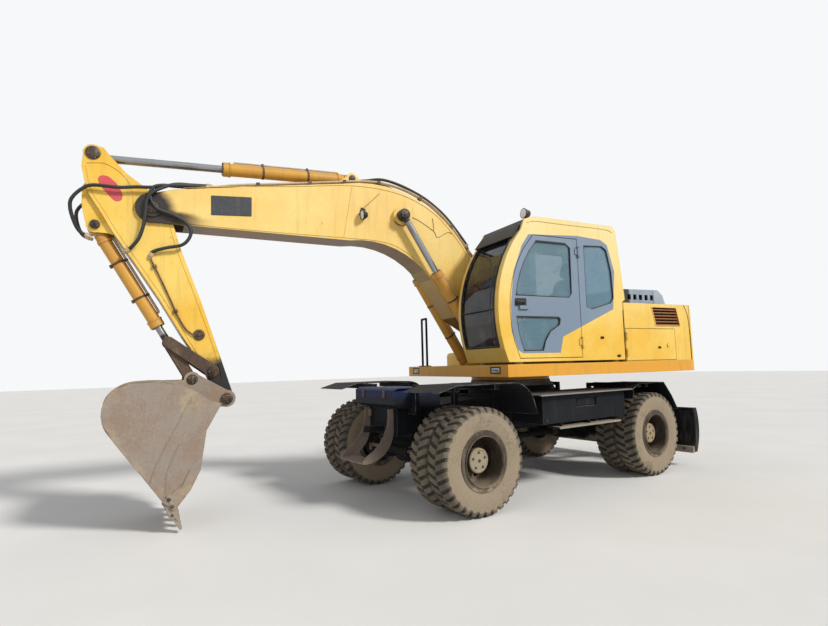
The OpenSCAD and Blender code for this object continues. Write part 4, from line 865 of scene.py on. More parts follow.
# Wheels
@dataclass
class Wheels:
    """Twin tyres with shoulder lugs, and the bolts of rims and hubs."""

    half: float = 132.5
    pitches: int = 34
    lug: float = 20.0
    gap: float = 147.5
    corners: tuple[str, ...] = ("front_left", "front_right", "rear_left", "rear_right")

    def profile(self) -> tuple[Points, Points]:
        """Half width and radius of the tyre without its lugs, and each row's lug share."""
        half = np.array([
            (-104, 255, 0), (-104, 292, 0), (-118, 300, 0), (-126, 330, 0), (-131, 370, 0),
            (-132.4, 405, 0), (-131, 440, 0), (-128, 458, 0), (-126.5, 466, 0.55),
            (-124, 480, 0.75), (-118, 492, 0.95), (-108, 498, 1), (-90, 499, 1),
            (-60, 499.6, 1), (-32, 500, 1), (-14, 500, 1), (-6, 500, 0.9)])
        full = np.vstack([half, half[::-1] * [-1, 1, 1]])
        return full[:, :2], full[:, 2]

    def surface(self) -> tuple[Points, Points, Points]:
        """One tyre as a grid of angle and section.

        A lug stands where the fraction of its pitch is inside its share; lugs of the two
        shoulders are half a pitch apart, and each leans with its distance from the middle.

        Returns:
            Places (angle, section, 3) in the wheel's own frame, groove depth 0 to 1, and 1
            on the tread against 0 on the side wall.
        """
        section, share = self.profile()
        y, r = section.T
        marks = np.array([0, 0.05, 0.12, 0.17, 0.33, 0.5, 0.55, 0.62, 0.67, 0.83])
        turn = (np.arange(self.pitches)[:, None] + marks).reshape(-1, 1) / self.pitches
        lean = 0.55 * (np.abs(y) / self.half) ** 1.4 / self.pitches
        part = np.mod(turn * self.pitches + np.where(y > 0, 0.5, 0.0), 1.0)
        height = np.clip(np.minimum(part / 0.05, (0.67 - part) / 0.05), 0, 1) * share
        way = np.gradient(section, axis=0)
        out = np.stack([-way[:, 1], way[:, 0]], 1)
        out *= np.sign(out[:, 1:] + 1e-9) / np.linalg.norm(out, axis=1, keepdims=True)
        out = np.where(share[:, None] > 0, out, 0).T
        yy = y + height * self.lug * out[0] * 0.5
        rr = r + height * self.lug * np.abs(out[1])
        angle = 2 * math.pi * (turn + lean)
        grid = np.stack([rr * np.cos(angle), yy, rr * np.sin(angle)], -1)
        groove = np.clip(share - height, 0, 1)
        return grid, groove, np.broadcast_to(np.clip((share - 0.5) * 4, 0, 1), groove.shape)

    def build(self, shop: Workshop) -> None:
        """Tyres, nuts and hub caps of the four corners."""
        grid, groove, tread = self.surface()
        for corner in self.corners:
            place = Place(np.array(JOINTS["wheel_" + corner]["pos_m"]), CHASSIS.forward,
                          CHASSIS.left, CHASSIS.up)
            body = "wheels_" + corner
            pair = Surface()
            for side in SIDES:
                pair.grid(grid + [0, side * self.gap, 0], ring=True)
            tyre = shop.piece("tread_" + corner, pair, place, "tyre_rubber", body, 28)
            for name, values in (("groove", groove), ("tread", tread)):
                mark = tyre.data.attributes.new(name, "FLOAT", "POINT")
                mark.data.foreach_set("value", np.tile(values.ravel(), 2).astype(np.float32))
            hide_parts("tyres_" + corner)
            self.hub(shop, corner, place, 1 if "left" in corner else -1, body)

    def hub(self, shop: Workshop, corner: str, place: Place, side: int, body: str) -> None:
        """Hub cap with its cap bolts, and wheel nuts, rim beads and a valve, facing out."""
        axis = (0, side, 0)
        cap = Surface().turned([(0, 121), (2, 123), (14, 121), (20, 114), (22, 104), (17, 99),
                                (19, 60), (23, 26), (24, 0.5)], [0, side * 165, 0], axis, 48)
        cap.bolts(spots([0, side * 183, 0], 78, np.arange(5) * 72 + 18), axis, 11, 10, use=1)
        cap.turned([(0, 16), (8, 15), (10, 8), (10, 0.5)], [0, side * 187, 0], axis, 16, use=1)
        shop.piece("hub_cap_" + corner, cap, place, ("hub_dusty", "cast_rusty"), body)
        nuts = Surface().bolts(spots([0, side * 54, 0], 132, np.arange(10) * 36), axis, 13, 22)
        for r, y in ((236, 271), (238, 251)):
            nuts.turned([(0, r + 9), (5, r + 12), (11, r + 9), (9, r + 2), (3, r + 2)],
                        [0, side * y, 0], axis, 64, closed=True)
        nuts.tube(smooth([[180, side * 16, 60], [205, side * 60, 68], [214, side * 120, 70]]),
                  5, 8, (1, 0, 0), use=1)
        shop.piece("wheel_nuts_" + corner, nuts, place, ("rim_paint", "pipe_steel"), body)


# Working gear
@dataclass
class WorkingGear:
    """Pipes, hoses, pins and patches of the boom, the arm and the bucket."""

    hose: float = 17.0
    boom_face: float = 170.5
    arm_face: float = 135.5

    @staticmethod
    def pins(shop: Workshop, name: str, place: Place, body: str,
             rows: Sequence[tuple[float, float, float, float]]) -> None:
        """Turned caps with a domed middle and three bolts, on the ends of pins.

        Args:
            shop: makes the piece.
            name: the piece's name.
            place: the axes that the rows are in.
            body: the body that it rides on.
            rows: (x, y, z, radius) of each cap on the left side; the right side is its mirror.
        """
        caps = Surface()
        for side in SIDES:
            axis = (0, side, 0)
            for x, y, z, r in rows:
                caps.turned([(-8, r), (6, r), (10, r * 0.92), (11, r * 0.62), (15, r * 0.56),
                             (17, r * 0.3), (17, 0.5)], (x, side * y, z), axis, 32)
                caps.bolts(spots((x, side * (y + 10), z), r * 0.68, (90, 210, 330)), axis,
                           r * 0.13, 8, use=1)
        shop.piece(name, caps, place, CAST, body)

    def pipes(self, shop: Workshop) -> None:
        """Four steel pipes along the boom's back, with clamps square to their way."""
        line = smooth([[840, 905], [960, 985], [1071, 1052], [1250, 1170], [1500, 1284],
                       [1760, 1343], [2050, 1350], [2330, 1297], [2600, 1185], [2800, 1083],
                       [3100, 930], [3500, 727], [3815, 566], [4046, 430]])
        run = Surface()
        for y in (-148, -114, 114, 148):
            run.tube(on_side(line, y), 11.5, 14)
        way = np.gradient(line, axis=0)
        for i in (6, 18, 30, 42, 52, 60, 68):
            angle = math.atan2(way[i, 1], way[i, 0])
            c, s = math.cos(angle), math.sin(angle)
            clamp = oblong(-20, -34, 20, 16, 4, 3) @ np.array([[c, s], [-s, c]]) + line[i]
            for y in (-131, 131):
                run.plate(clamp, y - 33, y + 33, 3, use=1)
                run.bolts([[line[i, 0] - s * 16, y, line[i, 1] + c * 16]], (-s, 0, c), 9, 9,
                          use=1)
        made = shop.piece("boom_pipe_run", run, BOOM, ("pipe_steel", "cast_rusty"), "boom")
        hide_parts("boom_pipes")

    def boom(self, shop: Workshop) -> None:
        """Pin caps, seams, a blank plate, grease lines and the side lamp."""
        self.pins(shop, "boom_rod_eye_caps", BOOM, "boom_rods", [(1953, 311, 991, 54)])
        self.pins(shop, "boom_pin_caps", BOOM, "boom", [(4475, 184, 0, 60),
                                                        (2640, 97, 1222, 40)])
        seam = Surface()
        rails = ([[640, 25], [909, 74], [1198, 316], [1547, 530], [1852, 618], [2118, 602],
                  [2474, 494], [3025, 316], [3630, 122], [4095, -17], [4330, -70]],
                 [[877, 836], [1071, 981], [1291, 1114], [1513, 1212], [1775, 1262],
                  [2056, 1258], [2377, 1190], [2729, 1062], [3205, 828], [3791, 553],
                  [4280, 310]])
        for y in (-self.boom_face, self.boom_face):
            for rail in rails:
                seam.tube(on_side(smooth(rail, 5), y), 4.5, 8)
            for ends in ([[2629, 1085], [2548, 480]], [[1000, 930], [1190, 330]]):
                seam.tube(on_side(smooth(ends, 4), y), 4, 8)
        shop.piece("boom_weld_seams", seam, BOOM, "boom_paint", "boom")
        plate = Surface().plate(rounded([(4012, 345), (3632, 495), (3568, 295), (3946, 148)], 8),
                                170, 174, 1.2)
        shop.piece("boom_side_plate", plate, BOOM, "slate_dark", "boom")
        lines = Surface()
        for path in ([[1803, 176, 1049], [1695, 174, 1044], [1482, 174, 998], [1411, 174, 942],
                      [1295, 174, 1059], [1230, 174, 1070]],
                     [[2292, 174, 1150], [2360, 176, 1020], [2425, 180, 905]],
                     [[1546, 174, 1150], [1500, 174, 1060], [1482, 174, 998]]):
            lines.tube(smooth(path, 5), 2.6, 8)
        shop.piece("boom_grease_lines", lines, BOOM, "rusty_pipe", "boom")
        eye, look = [2420, 226, 800], (1, 0, -0.45)
        lamp = Surface().plate(oblong(2395, 800, 2455, 900, 8), 170, 176, 1)
        lamp.tube(smooth([[2420, 176, 860], [2420, 205, 858], [2420, 226, 850]], 5), 9, 10,
                  (1, 0, 0))
        lamp.turned([(-52, 14), (-48, 30), (-20, 48), (0, 58), (14, 60), (18, 57), (14, 52)],
                    eye, look)
        lamp.turned([(6, 52), (14, 50), (19, 30), (20, 0.5)], eye, look, use=1)
        shop.piece("boom_lamp", lamp, BOOM, ("seal_rubber", "lamp_lens"), "boom")

    def arm(self, shop: Workshop) -> None:
        """Pin caps, seams, a red patch, and the side pipe with its clamps and its boss."""
        self.pins(shop, "arm_pin_caps", ARM, "arm", [(-643, 139, 313, 66), (14, 108, 526, 44),
                                                     (1719, 186, 27, 48)])
        seam = Surface()
        rails = ([[1800, 42], [1300, 132], [888, 202], [480, 290], [150, 366], [-104, 408],
                  [-300, 444], [-540, 412]],
                 [[1820, -34], [1524, -63], [1005, -78], [470, -78], [190, -98]],
                 [[-560, 400], [-545, 317], [-518, 244], [-433, 165], [-326, 117], [-228, 109],
                  [-110, 137], [-22, 168]])
        for y in (-self.arm_face, self.arm_face):
            for rail in rails:
                seam.tube(on_side(smooth(rail), y), 4, 8)
        shop.piece("arm_weld_seams", seam, ARM, "arm_paint", "arm")
        oval = rounded([(-421, 320), (-399, 261), (-294, 208), (-190, 202), (-138, 232),
                        (-144, 290), (-239, 331), (-329, 359), (-396, 358)], 40)
        shop.piece("arm_red_patch", Surface().plate(oval, 135, 136.4, 0.5), ARM, "signal_red",
                   "arm")
        pipe = Surface().tube(smooth([
            [419, 148, 135], [450, 150, 178], [535, 150, 176], [677, 150, 164], [900, 150, 150],
            [1080, 150, 142], [1225, 150, 120], [1290, 152, 90], [1330, 156, 60]]), 8)
        for x, z in ((560, 174), (1040, 145)):
            pipe.plate(oblong(x - 16, z - 20, x + 16, z + 20, 4, 3), 135, 163, 2, use=1)
            pipe.bolts([[x, 163, z]], (0, 1, 0), 8, 8, use=1)
        pipe.turned([(0, 56), (14, 54), (18, 44), (18, 20), (30, 18), (32, 0.5)],
                    [1335, 134, 20], use=1)
        pipe.bolts(spots([1335, 152, 20], 36, np.degrees([0.5, 2.1, 3.7, 5.2])), (0, 1, 0), 7, 8,
                   use=1)
        shop.piece("arm_side_pipe", pipe, ARM, ("rusty_pipe", "cast_rusty"), "arm")

    def tip_hoses(self, shop: Workshop) -> None:
        """Rubber hoses with end fittings over the boom's tip, running from boom to arm, on no
        body.
        """
        paths = {
            "side": [[4046, 114, 430], [4200, 132, 362], [4360, 168, 290], [4453, 196, 250],
                     [4527, 208, 188], [4523, 212, 88], [4431, 210, 1], [4272, 204, -2],
                     [4152, 202, -24], [4075, 202, -84], [4062, 202, -171], [4104, 200, -262],
                     [4222, 190, -337], [4321, 170, -412], [4333, 150, -470]],
            "left": [[4046, 148, 430], [4200, 168, 368], [4369, 188, 290], [4528, 196, 193],
                     [4670, 196, 130], [4805, 194, 64], [5002, 188, -1], [5076, 178, -71],
                     [5123, 160, -180], [5114, 135, -262], [5048, 100, -371], [4974, 62, -442],
                     [4884, 45, -456]],
            "right": [[4046, -148, 430], [4200, -168, 368], [4369, -188, 290],
                      [4520, -196, 193], [4660, -196, 128], [4790, -194, 60], [4985, -188, -6],
                      [5058, -178, -78], [5100, -160, -186], [5090, -135, -268],
                      [5028, -100, -376], [4958, -62, -444], [4884, -45, -456]],
            "front": [[4046, 131, 452], [4200, 150, 385], [4371, 186, 300], [4508, 214, 147],
                      [4536, 216, 46], [4512, 214, -60], [4485, 208, -193], [4479, 196, -334],
                      [4507, 176, -430], [4549, 146, -500]],
        }
        start, end = (tuple(BOOM.out(p)) for p in ([4300, 0, 200], [4640, 0, -60]))
        for name, path in paths.items():
            surface = Surface().tube(smooth(path), self.hose)
            for tip, near in ((path[0], path[1]), (path[-1], path[-2])):
                surface.turned([(-46, 20), (-40, 22), (-8, 22), (-4, 17), (14, 17), (18, 14)],
                               tip, np.subtract(tip, near), 16, use=1)
            made = shop.piece("tip_hose_" + name, surface, BOOM, RUBBER, "")
            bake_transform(made)

    def back_hoses(self, shop: Workshop) -> None:
        """Rubber hoses from the deck to the boom's foot, and over its back."""
        foot = Surface()
        for y, lift, lead in ((-148, 0, 0), (-114, 14, 50), (114, 14, 50), (148, 0, 0)):
            path = [[830, y, 900], [780, y, 872 + lift], [700, y * 0.98, 840 + lift],
                    [610, y * 0.95, 800 + lift + lead], [500, y * 0.92, 740 + lift + lead],
                    [400, y * 0.9, 660 + lift], [310, y * 0.88, 560 + lift],
                    [235, y * 0.85, 440 + lift]]
            foot.tube(smooth(path), self.hose)
            foot.turned([(-40, 20), (-34, 22), (0, 22), (4, 14)], path[0], (1, 0, 0.6), 16,
                        use=1)
            foot.turned([(-30, 24), (-24, 26), (6, 26), (12, 14)], path[-1], (0.5, 0, 1), 16,
                        use=1)
        shop.piece("boom_foot_hoses", foot, BOOM, RUBBER, "boom")
        crest = Surface()
        for y in (-48, 48):
            path = [[x, y * spread, z] for x, spread, z in (
                (2560, 1, 1238), (2450, 1, 1300), (2300, 1.5, 1376), (2120, 2, 1402),
                (1900, 2.3, 1400), (1683, 2.5, 1374), (1454, 2.6, 1308), (1284, 2.6, 1232),
                (1115, 2.6, 1132), (962, 2.6, 1034))]
            crest.tube(smooth(path), self.hose)
            crest.turned([(-20, 22), (12, 22), (18, 16)], path[-1], (1, 0, 0.7), 16, use=1)
        shop.piece("boom_crest_hoses", crest, BOOM, RUBBER, "boom")

    def cylinders(self, shop: Workshop) -> None:
        """Gland rings, end bands and steel feed pipes along the four barrels."""
        ahead = (1, 0, 0)
        for body, place, length, r, offsets, eye, side, pipe in (
                ("boom_barrels", BOOM_CYLINDER, 1366, 62, (-265, 265), 75, 1, 10),
                ("arm_barrel", ARM_CYLINDER, 1443, 68, (0,), 64, 1, 10),
                ("bucket_barrel", BUCKET_CYLINDER, 1120, 62, (0,), 76, -1, 13)):
            dress = Surface()
            up = side * (r + 17)
            for y in offsets:
                for x, w, h in ((length - 74, 14, 12), (length - 8, 10, 4), (eye + 70, 30, 7)):
                    dress.turned([(0, r - 2), (0, r + h), (w, r + h), (w, r - 2)], [x, y, 0],
                                 ahead, 40, closed=True)
                dress.bolts(spots([length + 2, y, 0], r - 8, np.arange(8) * 45, (1, 2)), ahead,
                            8, 8, use=1)
                path = [[x, y, z] for x, z in (
                    (eye + 90, side * (r - 4)), (eye + 92, up - side * 4), (eye + 130, up),
                    (length * 0.5, up), (length - 170, up), (length - 128, up - side * 3),
                    (length - 122, side * r))]
                dress.tube(smooth(path, 5), pipe, use=2)
                for x in (length * 0.35, length * 0.7):
                    dress.turned([(0, r - 1), (0, r + 4), (22, r + 4), (22, r - 1)], [x, y, 0],
                                 ahead, 40, closed=True, use=1)
                    low, high = sorted((side * r, up + side * 15))
                    dress.block([x - 2, y - 18, low], [x + 24, y + 18, high], 4, use=1)
                    if side < 0:
                        dress.block([x - 6, y - 20, r - 2], [x + 28, y + 20, r + 24], 5, use=1)
            shop.piece(body + "_fittings", dress, place,
                       ("cylinder_paint", "cast_rusty", "pipe_steel"), body)

    def bucket(self, shop: Workshop) -> None:
        """Tooth adapters, wear strips over the heel, side seams, cutters and pin caps."""
        self.pins(shop, "bucket_pin_caps", BUCKET, "bucket", [(0, 228, 0, 56),
                                                              (-76, 212, 374, 50)])
        steel = Surface()
        adapter = rounded([(1015, 168), (1040, 214), (1132, 150), (1160, 102), (1120, 58),
                           (1074, 86)], 10, 3)
        for y in range(-430, 431, 215):
            steel.plate(adapter, y - 44, y + 44, 5)
            steel.turned([(-47, 13), (47, 13)], [1118, y, 112], sides=14, use=1)
        heel = smooth([[14, 300], [10, 480], [27, 642], [119, 872], [196, 963], [330, 1010],
                       [528, 949], [662, 789], [855, 504]], 5)
        heel_in = smooth([[26, 300], [22, 480], [39, 638], [131, 862], [203, 949], [330, 996],
                          [518, 933], [650, 776], [843, 491]], 5)
        for y in (-330, -110, 110, 330):
            steel.plate(np.vstack([heel, heel_in[::-1]]), y - 40, y + 40, 2)
        for side in SIDES:
            y = side * 475
            low, high = sorted((y - side, y + side * 5))
            for line in ([[70, 330], [248, 352], [445, 371], [611, 389], [785, 400], [900, 392]],
                         [[505, 284], [644, 290], [800, 284], [960, 232]]):
                seam = smooth(line, 4)
                steel.plate(np.vstack([seam + [0, 5], seam[::-1] - [0, 5]]), low, high, 1.5)
            cutter = rounded([(965, 225), (1075, 128), (1050, 100), (940, 190)], 5, 2)
            steel.plate(cutter, *sorted((y, y + side * 22)), 3)
            steel.bolts([[990, y + side * 21, 190], [1040, y + side * 21, 140]], (0, side, 0),
                        14, 12, use=1)
        shop.piece("bucket_wear_parts", steel, BUCKET, ("bucket_steel", "cast_rusty"), "bucket")

    def build(self, shop: Workshop) -> None:
        """All dressings of the working gear."""
        for part in (self.pipes, self.boom, self.arm, self.tip_hoses, self.back_hoses,
                     self.cylinders, self.bucket):
            part(shop)


# Cab
@dataclass
class Cab:
    """Window rubber, door handle, trims, visor, wiper and the operator's place."""

    post: float = 150.0
    pane: float = 1198.0
    middle: float = 790.0
    screen: tuple[float, float] = (455.0, 1125.0)
    floor: float = 1516.0

    @staticmethod
    def nose(inwards: float, z: Points | float) -> Points:
        """The curved front: the circle through three points, where chord bisectors meet."""
        a, b, c = np.array([[913.0, 1558], [994.0, 2030], [668.0, 2923]])
        x0, z0 = np.linalg.solve(2 * np.stack([b - a, c - a]), [b @ b - a @ a, c @ c - a @ a])
        r = math.hypot(b[0] - x0, b[1] - z0) - inwards
        z = np.asarray(z, float)
        return np.stack([x0 + np.sqrt(r * r - (z - z0) ** 2), z], -1)

    @staticmethod
    def gasket(surface: Surface, outline: Points, y: float, size: float) -> None:
        """A rubber section carried round a closed window outline."""
        surface.rim(outline, ((-size, 0), (-size * 0.8, 6), (size * 0.8, 7), (size, 2),
                              (size, -16), (-size, -16)), y)

    def panes(self, shop: Workshop) -> None:
        """Rubber round the door's and the side's panes, and the door's handle."""
        upper = np.vstack([[[-55, 2195], [-55, 2830]],
                           self.nose(self.post + 75, np.linspace(2830, 2200, 7))])
        lower = np.vstack([[[400, 1590], [369, 1690], [291, 1802], [153, 1879], [140, 1965]],
                           self.nose(self.post + 85, np.linspace(1965, 1590, 6))])
        door = Surface()
        for outline in (upper, lower):
            self.gasket(door, rounded(outline, 45, 5), self.pane, 9)
        door.plate(rounded([(618, 2078), (776, 2076), (770, 2167), (613, 2170)], 18), 1205, 1209,
                   1.5)
        door.tube(smooth([[640, 1212, 2122], [653, 1232, 2124], [698, 1236, 2126],
                          [743, 1232, 2126], [756, 1212, 2126]], 5), 9, 10, (0, 0, 1))
        shop.piece("door_window_rubber", door, UPPER, "seal_rubber", "cab_door")
        shell = Surface()
        quarter = [(-260, 2085), (-260, 2832), (-560, 2845), (-632, 2800), (-692, 2540),
                   (-707, 2215), (-655, 2150), (-350, 2065)]
        self.gasket(shell, rounded(quarter, 35, 5), self.pane, 10)
        right = np.vstack([[[-700, 2050], [-690, 2900]],
                           self.nose(self.post, np.linspace(2900, 2050, 8))])
        self.gasket(shell, rounded(right, 45, 5), 382, 9)
        shop.piece("side_window_rubber", shell, UPPER, "seal_rubber", "upper")

    def screens(self, shop: Workshop) -> None:
        """Rubber round the windscreen with its bar, and round the rear window."""
        edge = self.nose(-3, np.linspace(1640, 2945, 24))
        rubber = Surface()
        for y in self.screen:
            rubber.tube(on_side(edge, y), 11, 8)
        for (x, z), r in ((edge[0], 11), (edge[-1], 11), (self.nose(-2, 2050.0), 7)):
            rubber.tube(smooth([[x, y, z] for y in self.screen], 8), r, 8, (0, 0, 1))
        self.wiper(rubber)
        shop.piece("windscreen_rubber", rubber, UPPER, ("seal_rubber", "cab_plastic"), "upper")
        rear = Surface()
        for y in (488, 1092):
            rear.tube(smooth([[-882, y, 2268], [-812, y, 2955]], 4), 9, 8)
        for x, z in ((-883, 2264), (-812, 2956)):
            rear.tube(smooth([[x, 488, z], [x, 1092, z]], 4), 9, 8, (0, 0, 1))
        shop.piece("rear_window_rubber", rear, UPPER, "seal_rubber", "upper")

    def wiper(self, surface: Surface) -> None:
        """Arm and blade resting along the left side of the windscreen."""
        z = np.linspace(1700, 2420, 12)
        path = np.stack([self.nose(-14, z)[:, 0], 1085 - 0.02 * (z - 1700), z], 1)
        surface.tube(path, 5, 8, use=1)
        surface.turned([(-10, 22), (18, 20), (24, 10), (24, 0.5)],
                       [self.nose(-4, 1690)[0], 1086, 1690], (1, 0, -0.3), 20, use=1)
        surface.tube(on_side(self.nose(-10, z[4:] + 130), 1060), 7, 6, use=1)

    def roof(self, shop: Workshop) -> None:
        """Gutter along the roof, and the visor over the windscreen."""
        top = smooth([[-740, 3090], [-600, 3119], [100, 3119], [450, 3119], [560, 3092]])
        trim = Surface().tube(on_side(top - [0, 60], 1203), 8, 8)
        visor = np.vstack([self.nose(-4, np.linspace(2950, 2860, 5)),
                           self.nose(-34, np.linspace(2860, 2950, 5)),
                           [[640, 3010], [600, 3010]]])
        trim.plate(visor, 420, 1160, 3, use=1)
        shop.piece("cab_roof_trim", trim, UPPER, ("cab_paint", "seal_rubber"), "upper")

    def seat(self, shop: Workshop) -> None:
        """Crowned pads: a sphere whose sines keep their sign and take a small power.

        The power squares the sphere off, a half cosine crowns the pad, and five shallow
        channels run across it.
        """
        u = np.linspace(-math.pi / 2, math.pi / 2, 25)[:, None]
        v = np.linspace(0, 2 * math.pi, 64, endpoint=False)[None]
        cu, cv, su, sv = (np.sign(t) * np.abs(t) ** power for t, power in (
            (np.cos(u), 0.32), (np.cos(v), 0.32), (np.sin(u), 0.5), (np.sin(v), 0.32)))
        x, y, z = cu * cv, cu * sv, su * np.ones_like(v)
        crown = 1 + 0.10 * np.cos(np.clip(y, -1, 1) * math.pi / 2)
        crown *= 1 - 0.05 * (np.abs(np.mod(y * 2.5 + 0.5, 1) - 0.5) < 0.06)
        for name, centre, size, lean in (
                ("seat_cushion", (-70, 0, 1905), (250, 235, 62), 0),
                ("seat_back", (-325, 0, 2200), (64, 225, 300), 12),
                ("seat_headrest", (-400, 0, 2610), (46, 125, 95), 12)):
            level = name == "seat_cushion"
            grid = np.stack((x, y, z) if level else (z, y, x), -1) * size
            grid[..., 2 if level else 0] *= crown
            a = math.radians(lean)
            turn = np.array([[math.cos(a), 0, math.sin(a)], [0, 1, 0],
                             [-math.sin(a), 0, math.cos(a)]])
            pad = Surface().grid(grid @ turn + centre + [0, self.middle, 0])
            made = shop.piece(name, pad, UPPER, "seat_cloth", "upper", 60)

    def wheel(self, room: Surface) -> None:
        """Steering wheel: a tube round a tilted circle, and three spokes to its hub."""
        lean = math.radians(-14)
        flat = np.array([[math.cos(lean), 0, -math.sin(lean)], [0, 1, 0]])
        a = np.linspace(0, 2 * math.pi, 40, endpoint=False)
        b = np.linspace(0, 2 * math.pi, 12, endpoint=False)[:, None]
        outward = np.stack([np.cos(a), np.sin(a)], 1) @ flat
        axis = np.array([math.sin(lean), 0, math.cos(lean)])
        section = np.cos(b) * outward[:, None] + np.sin(b) * axis
        room.grid(180 * outward[:, None] + [512, self.middle, 2165] + 14 * section, ring=True)
        hub = np.array([512, self.middle, 2160.0])
        for angle in (0.5, 2.6, 4.7):
            tip = 178 * np.array([math.cos(angle), math.sin(angle)]) @ flat
            room.tube(smooth([hub, hub + tip * 0.5, hub + tip], 4), 9, 8, (0, 0, 1))

    def inside(self, shop: Workshop) -> None:
        """Seat box, consoles with levers, pedals, column and wheel in place of the CAD ones."""
        m = self.middle
        room = Surface().block([-320, m - 185, self.floor], [150, m + 185, 1760], 12)
        room.block([-300, m - 210, 1760], [170, m + 210, 1842], 16)
        console = rounded([(-330, 1940), (-300, 1990), (120, 1996), (190, 1960), (200, 1880),
                           (150, 1560), (-290, 1560)], 24)
        for y in (m - 310, m + 310):
            room.plate(console, y - 62, y + 62, 8)
            room.tube(smooth([[130, y, 1990], [140, y, 2090], [158, y, 2150]]), 12)
            room.turned([(-40, 20), (-20, 27), (20, 30), (45, 26), (58, 12), (60, 0.5)],
                        [162, y, 2190], (0.1, 0, 1), 20)
        room.turned([(0, 62), (20, 58), (40, 46)], [640, m, 1515], (0, 0, 1), 24)
        room.tube(smooth([[637, m, 1530], [600, m, 1780], [552, m, 2000], [522, m, 2158]]),
                  np.linspace(44, 30, 19), 16)
        self.wheel(room)
        pedal = rounded([(560, 1530), (700, 1530), (735, 1640), (715, 1650), (670, 1560),
                         (560, 1550)], 8, 3)
        for y in (m - 130, m + 130):
            room.plate(pedal, y - 40, y + 40, 4)
        made = shop.piece("cab_controls", room, UPPER, "cab_plastic", "upper")
        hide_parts("cab_interior")

    def build(self, shop: Workshop) -> None:
        """All dressings of the cab."""
        for part in (self.panes, self.screens, self.roof, self.inside, self.seat):
            part(shop)


# Upper structure
@dataclass
class House:
    """Seams, latches, lamps, louvre frames and the rear of the upper structure."""

    side: float = 1210.0
    lamp_y: float = 985.0
    tail_y: float = 900.0

    def build(self, shop: Workshop) -> None:
        """Everything on the deck, the engine housing and the counterweight."""
        for part in (self.lamps, self.seams, self.louvres, self.tail):
            part(shop)

    def seams(self, shop: Workshop) -> None:
        """Dark gaps between the panels, and three latches on the left side."""
        trim = Surface()
        edge = smooth([[-1940, 2160], [-1985, 2080], [-2014, 1960], [-2025, 1700],
                       [-2026, 1455]], 5)
        band = np.vstack([edge + [5, 0], edge[::-1] - [5, 0]])
        for side in SIDES:
            y = side * self.side
            trim.plate(band, *sorted((y - side, y + side * 2.2)), 0.8)
        trim.plate([(-850, 1455), (-838, 1455), (-838, 2070), (-850, 2070)], 1200, 1207, 1)
        for x, z in ((-480, 1735), (-735, 1517), (-1440, 1612)):
            trim.plate(oblong(x - 26, z - 14, x + 26, z + 14, 7), 1208, 1213, 1)
            trim.turned([(0, 10), (4, 9), (5, 0.5)], [x, 1213, z], sides=14)
        shop.piece("panel_seams", trim, UPPER, "dark_gap", "upper")

    def louvres(self, shop: Workshop) -> None:
        """A raised frame round the slanted louvre window on each side."""
        frames = Surface()
        for side in SIDES:
            steps = [(inwards, side * (self.side - 0.5 + depth))
                     for inwards, depth in ((-12, 0), (-10, 5), (4, 6), (6, 0))]
            frames.rim([(-1405, 1890), (-1340, 2118), (-1782, 2118), (-1836, 1890)], steps)
        shop.piece("louvre_frames", frames, UPPER, "house_paint", "upper")

    def tail(self, shop: Workshop) -> None:
        """Tail lamps with a red and a clear lens, and the lip of the counterweight's top."""
        rear = Surface()
        for side in SIDES:
            y = side * self.tail_y
            rear.block([-2196, y - 70, 1700], [-2178, y + 70, 1760], 5)
            for r, depth, out, use in ((26, 10, 30, 1), (22, 8, -30, 2)):
                rear.turned([(0, r), (depth, r), (depth + 4, r - 8), (depth + 5, 0.5)],
                            [-2196, y + side * out, 1730], (-1, 0, 0), 20, use=use)
        rear.plate(oblong(-2040, 2166, -1990, 2196, 6, 3), -560, 560, 4)
        shop.piece("tail_lights", rear, UPPER, ("seal_rubber", "signal_red", "lamp_lens"),
                   "upper")

    def lamps(self, shop: Workshop) -> None:
        """Ribbed lenses in dark frames in the deck's front, and the roof lamp's lens."""
        lens = Surface()
        outline = oblong(-86, 1354, 86, 1414, 12)
        for y in (-self.lamp_y, self.lamp_y):
            lens.rim(outline, ((-8, 904), (-6, 912), (4, 913), (9, 904)), y, ahead=True)
            lens.rim(outline, ((4, 900), (5, 908), (16, 912), (26, 913)), y, ahead=True,
                     ring=False, use=1)
        eye, look = [438, 1010, 3200], (1, 0, 0)
        lens.turned([(0, 57), (3, 61), (10, 61), (13, 56)], eye, look, 36, closed=True)
        lens.turned([(2, 56), (11, 55), (17, 36), (19, 12), (19, 0.5)], eye, look, 36, use=1)
        shop.piece("lamp_lenses", lens, UPPER, ("seal_rubber", "lamp_lens"), "upper")


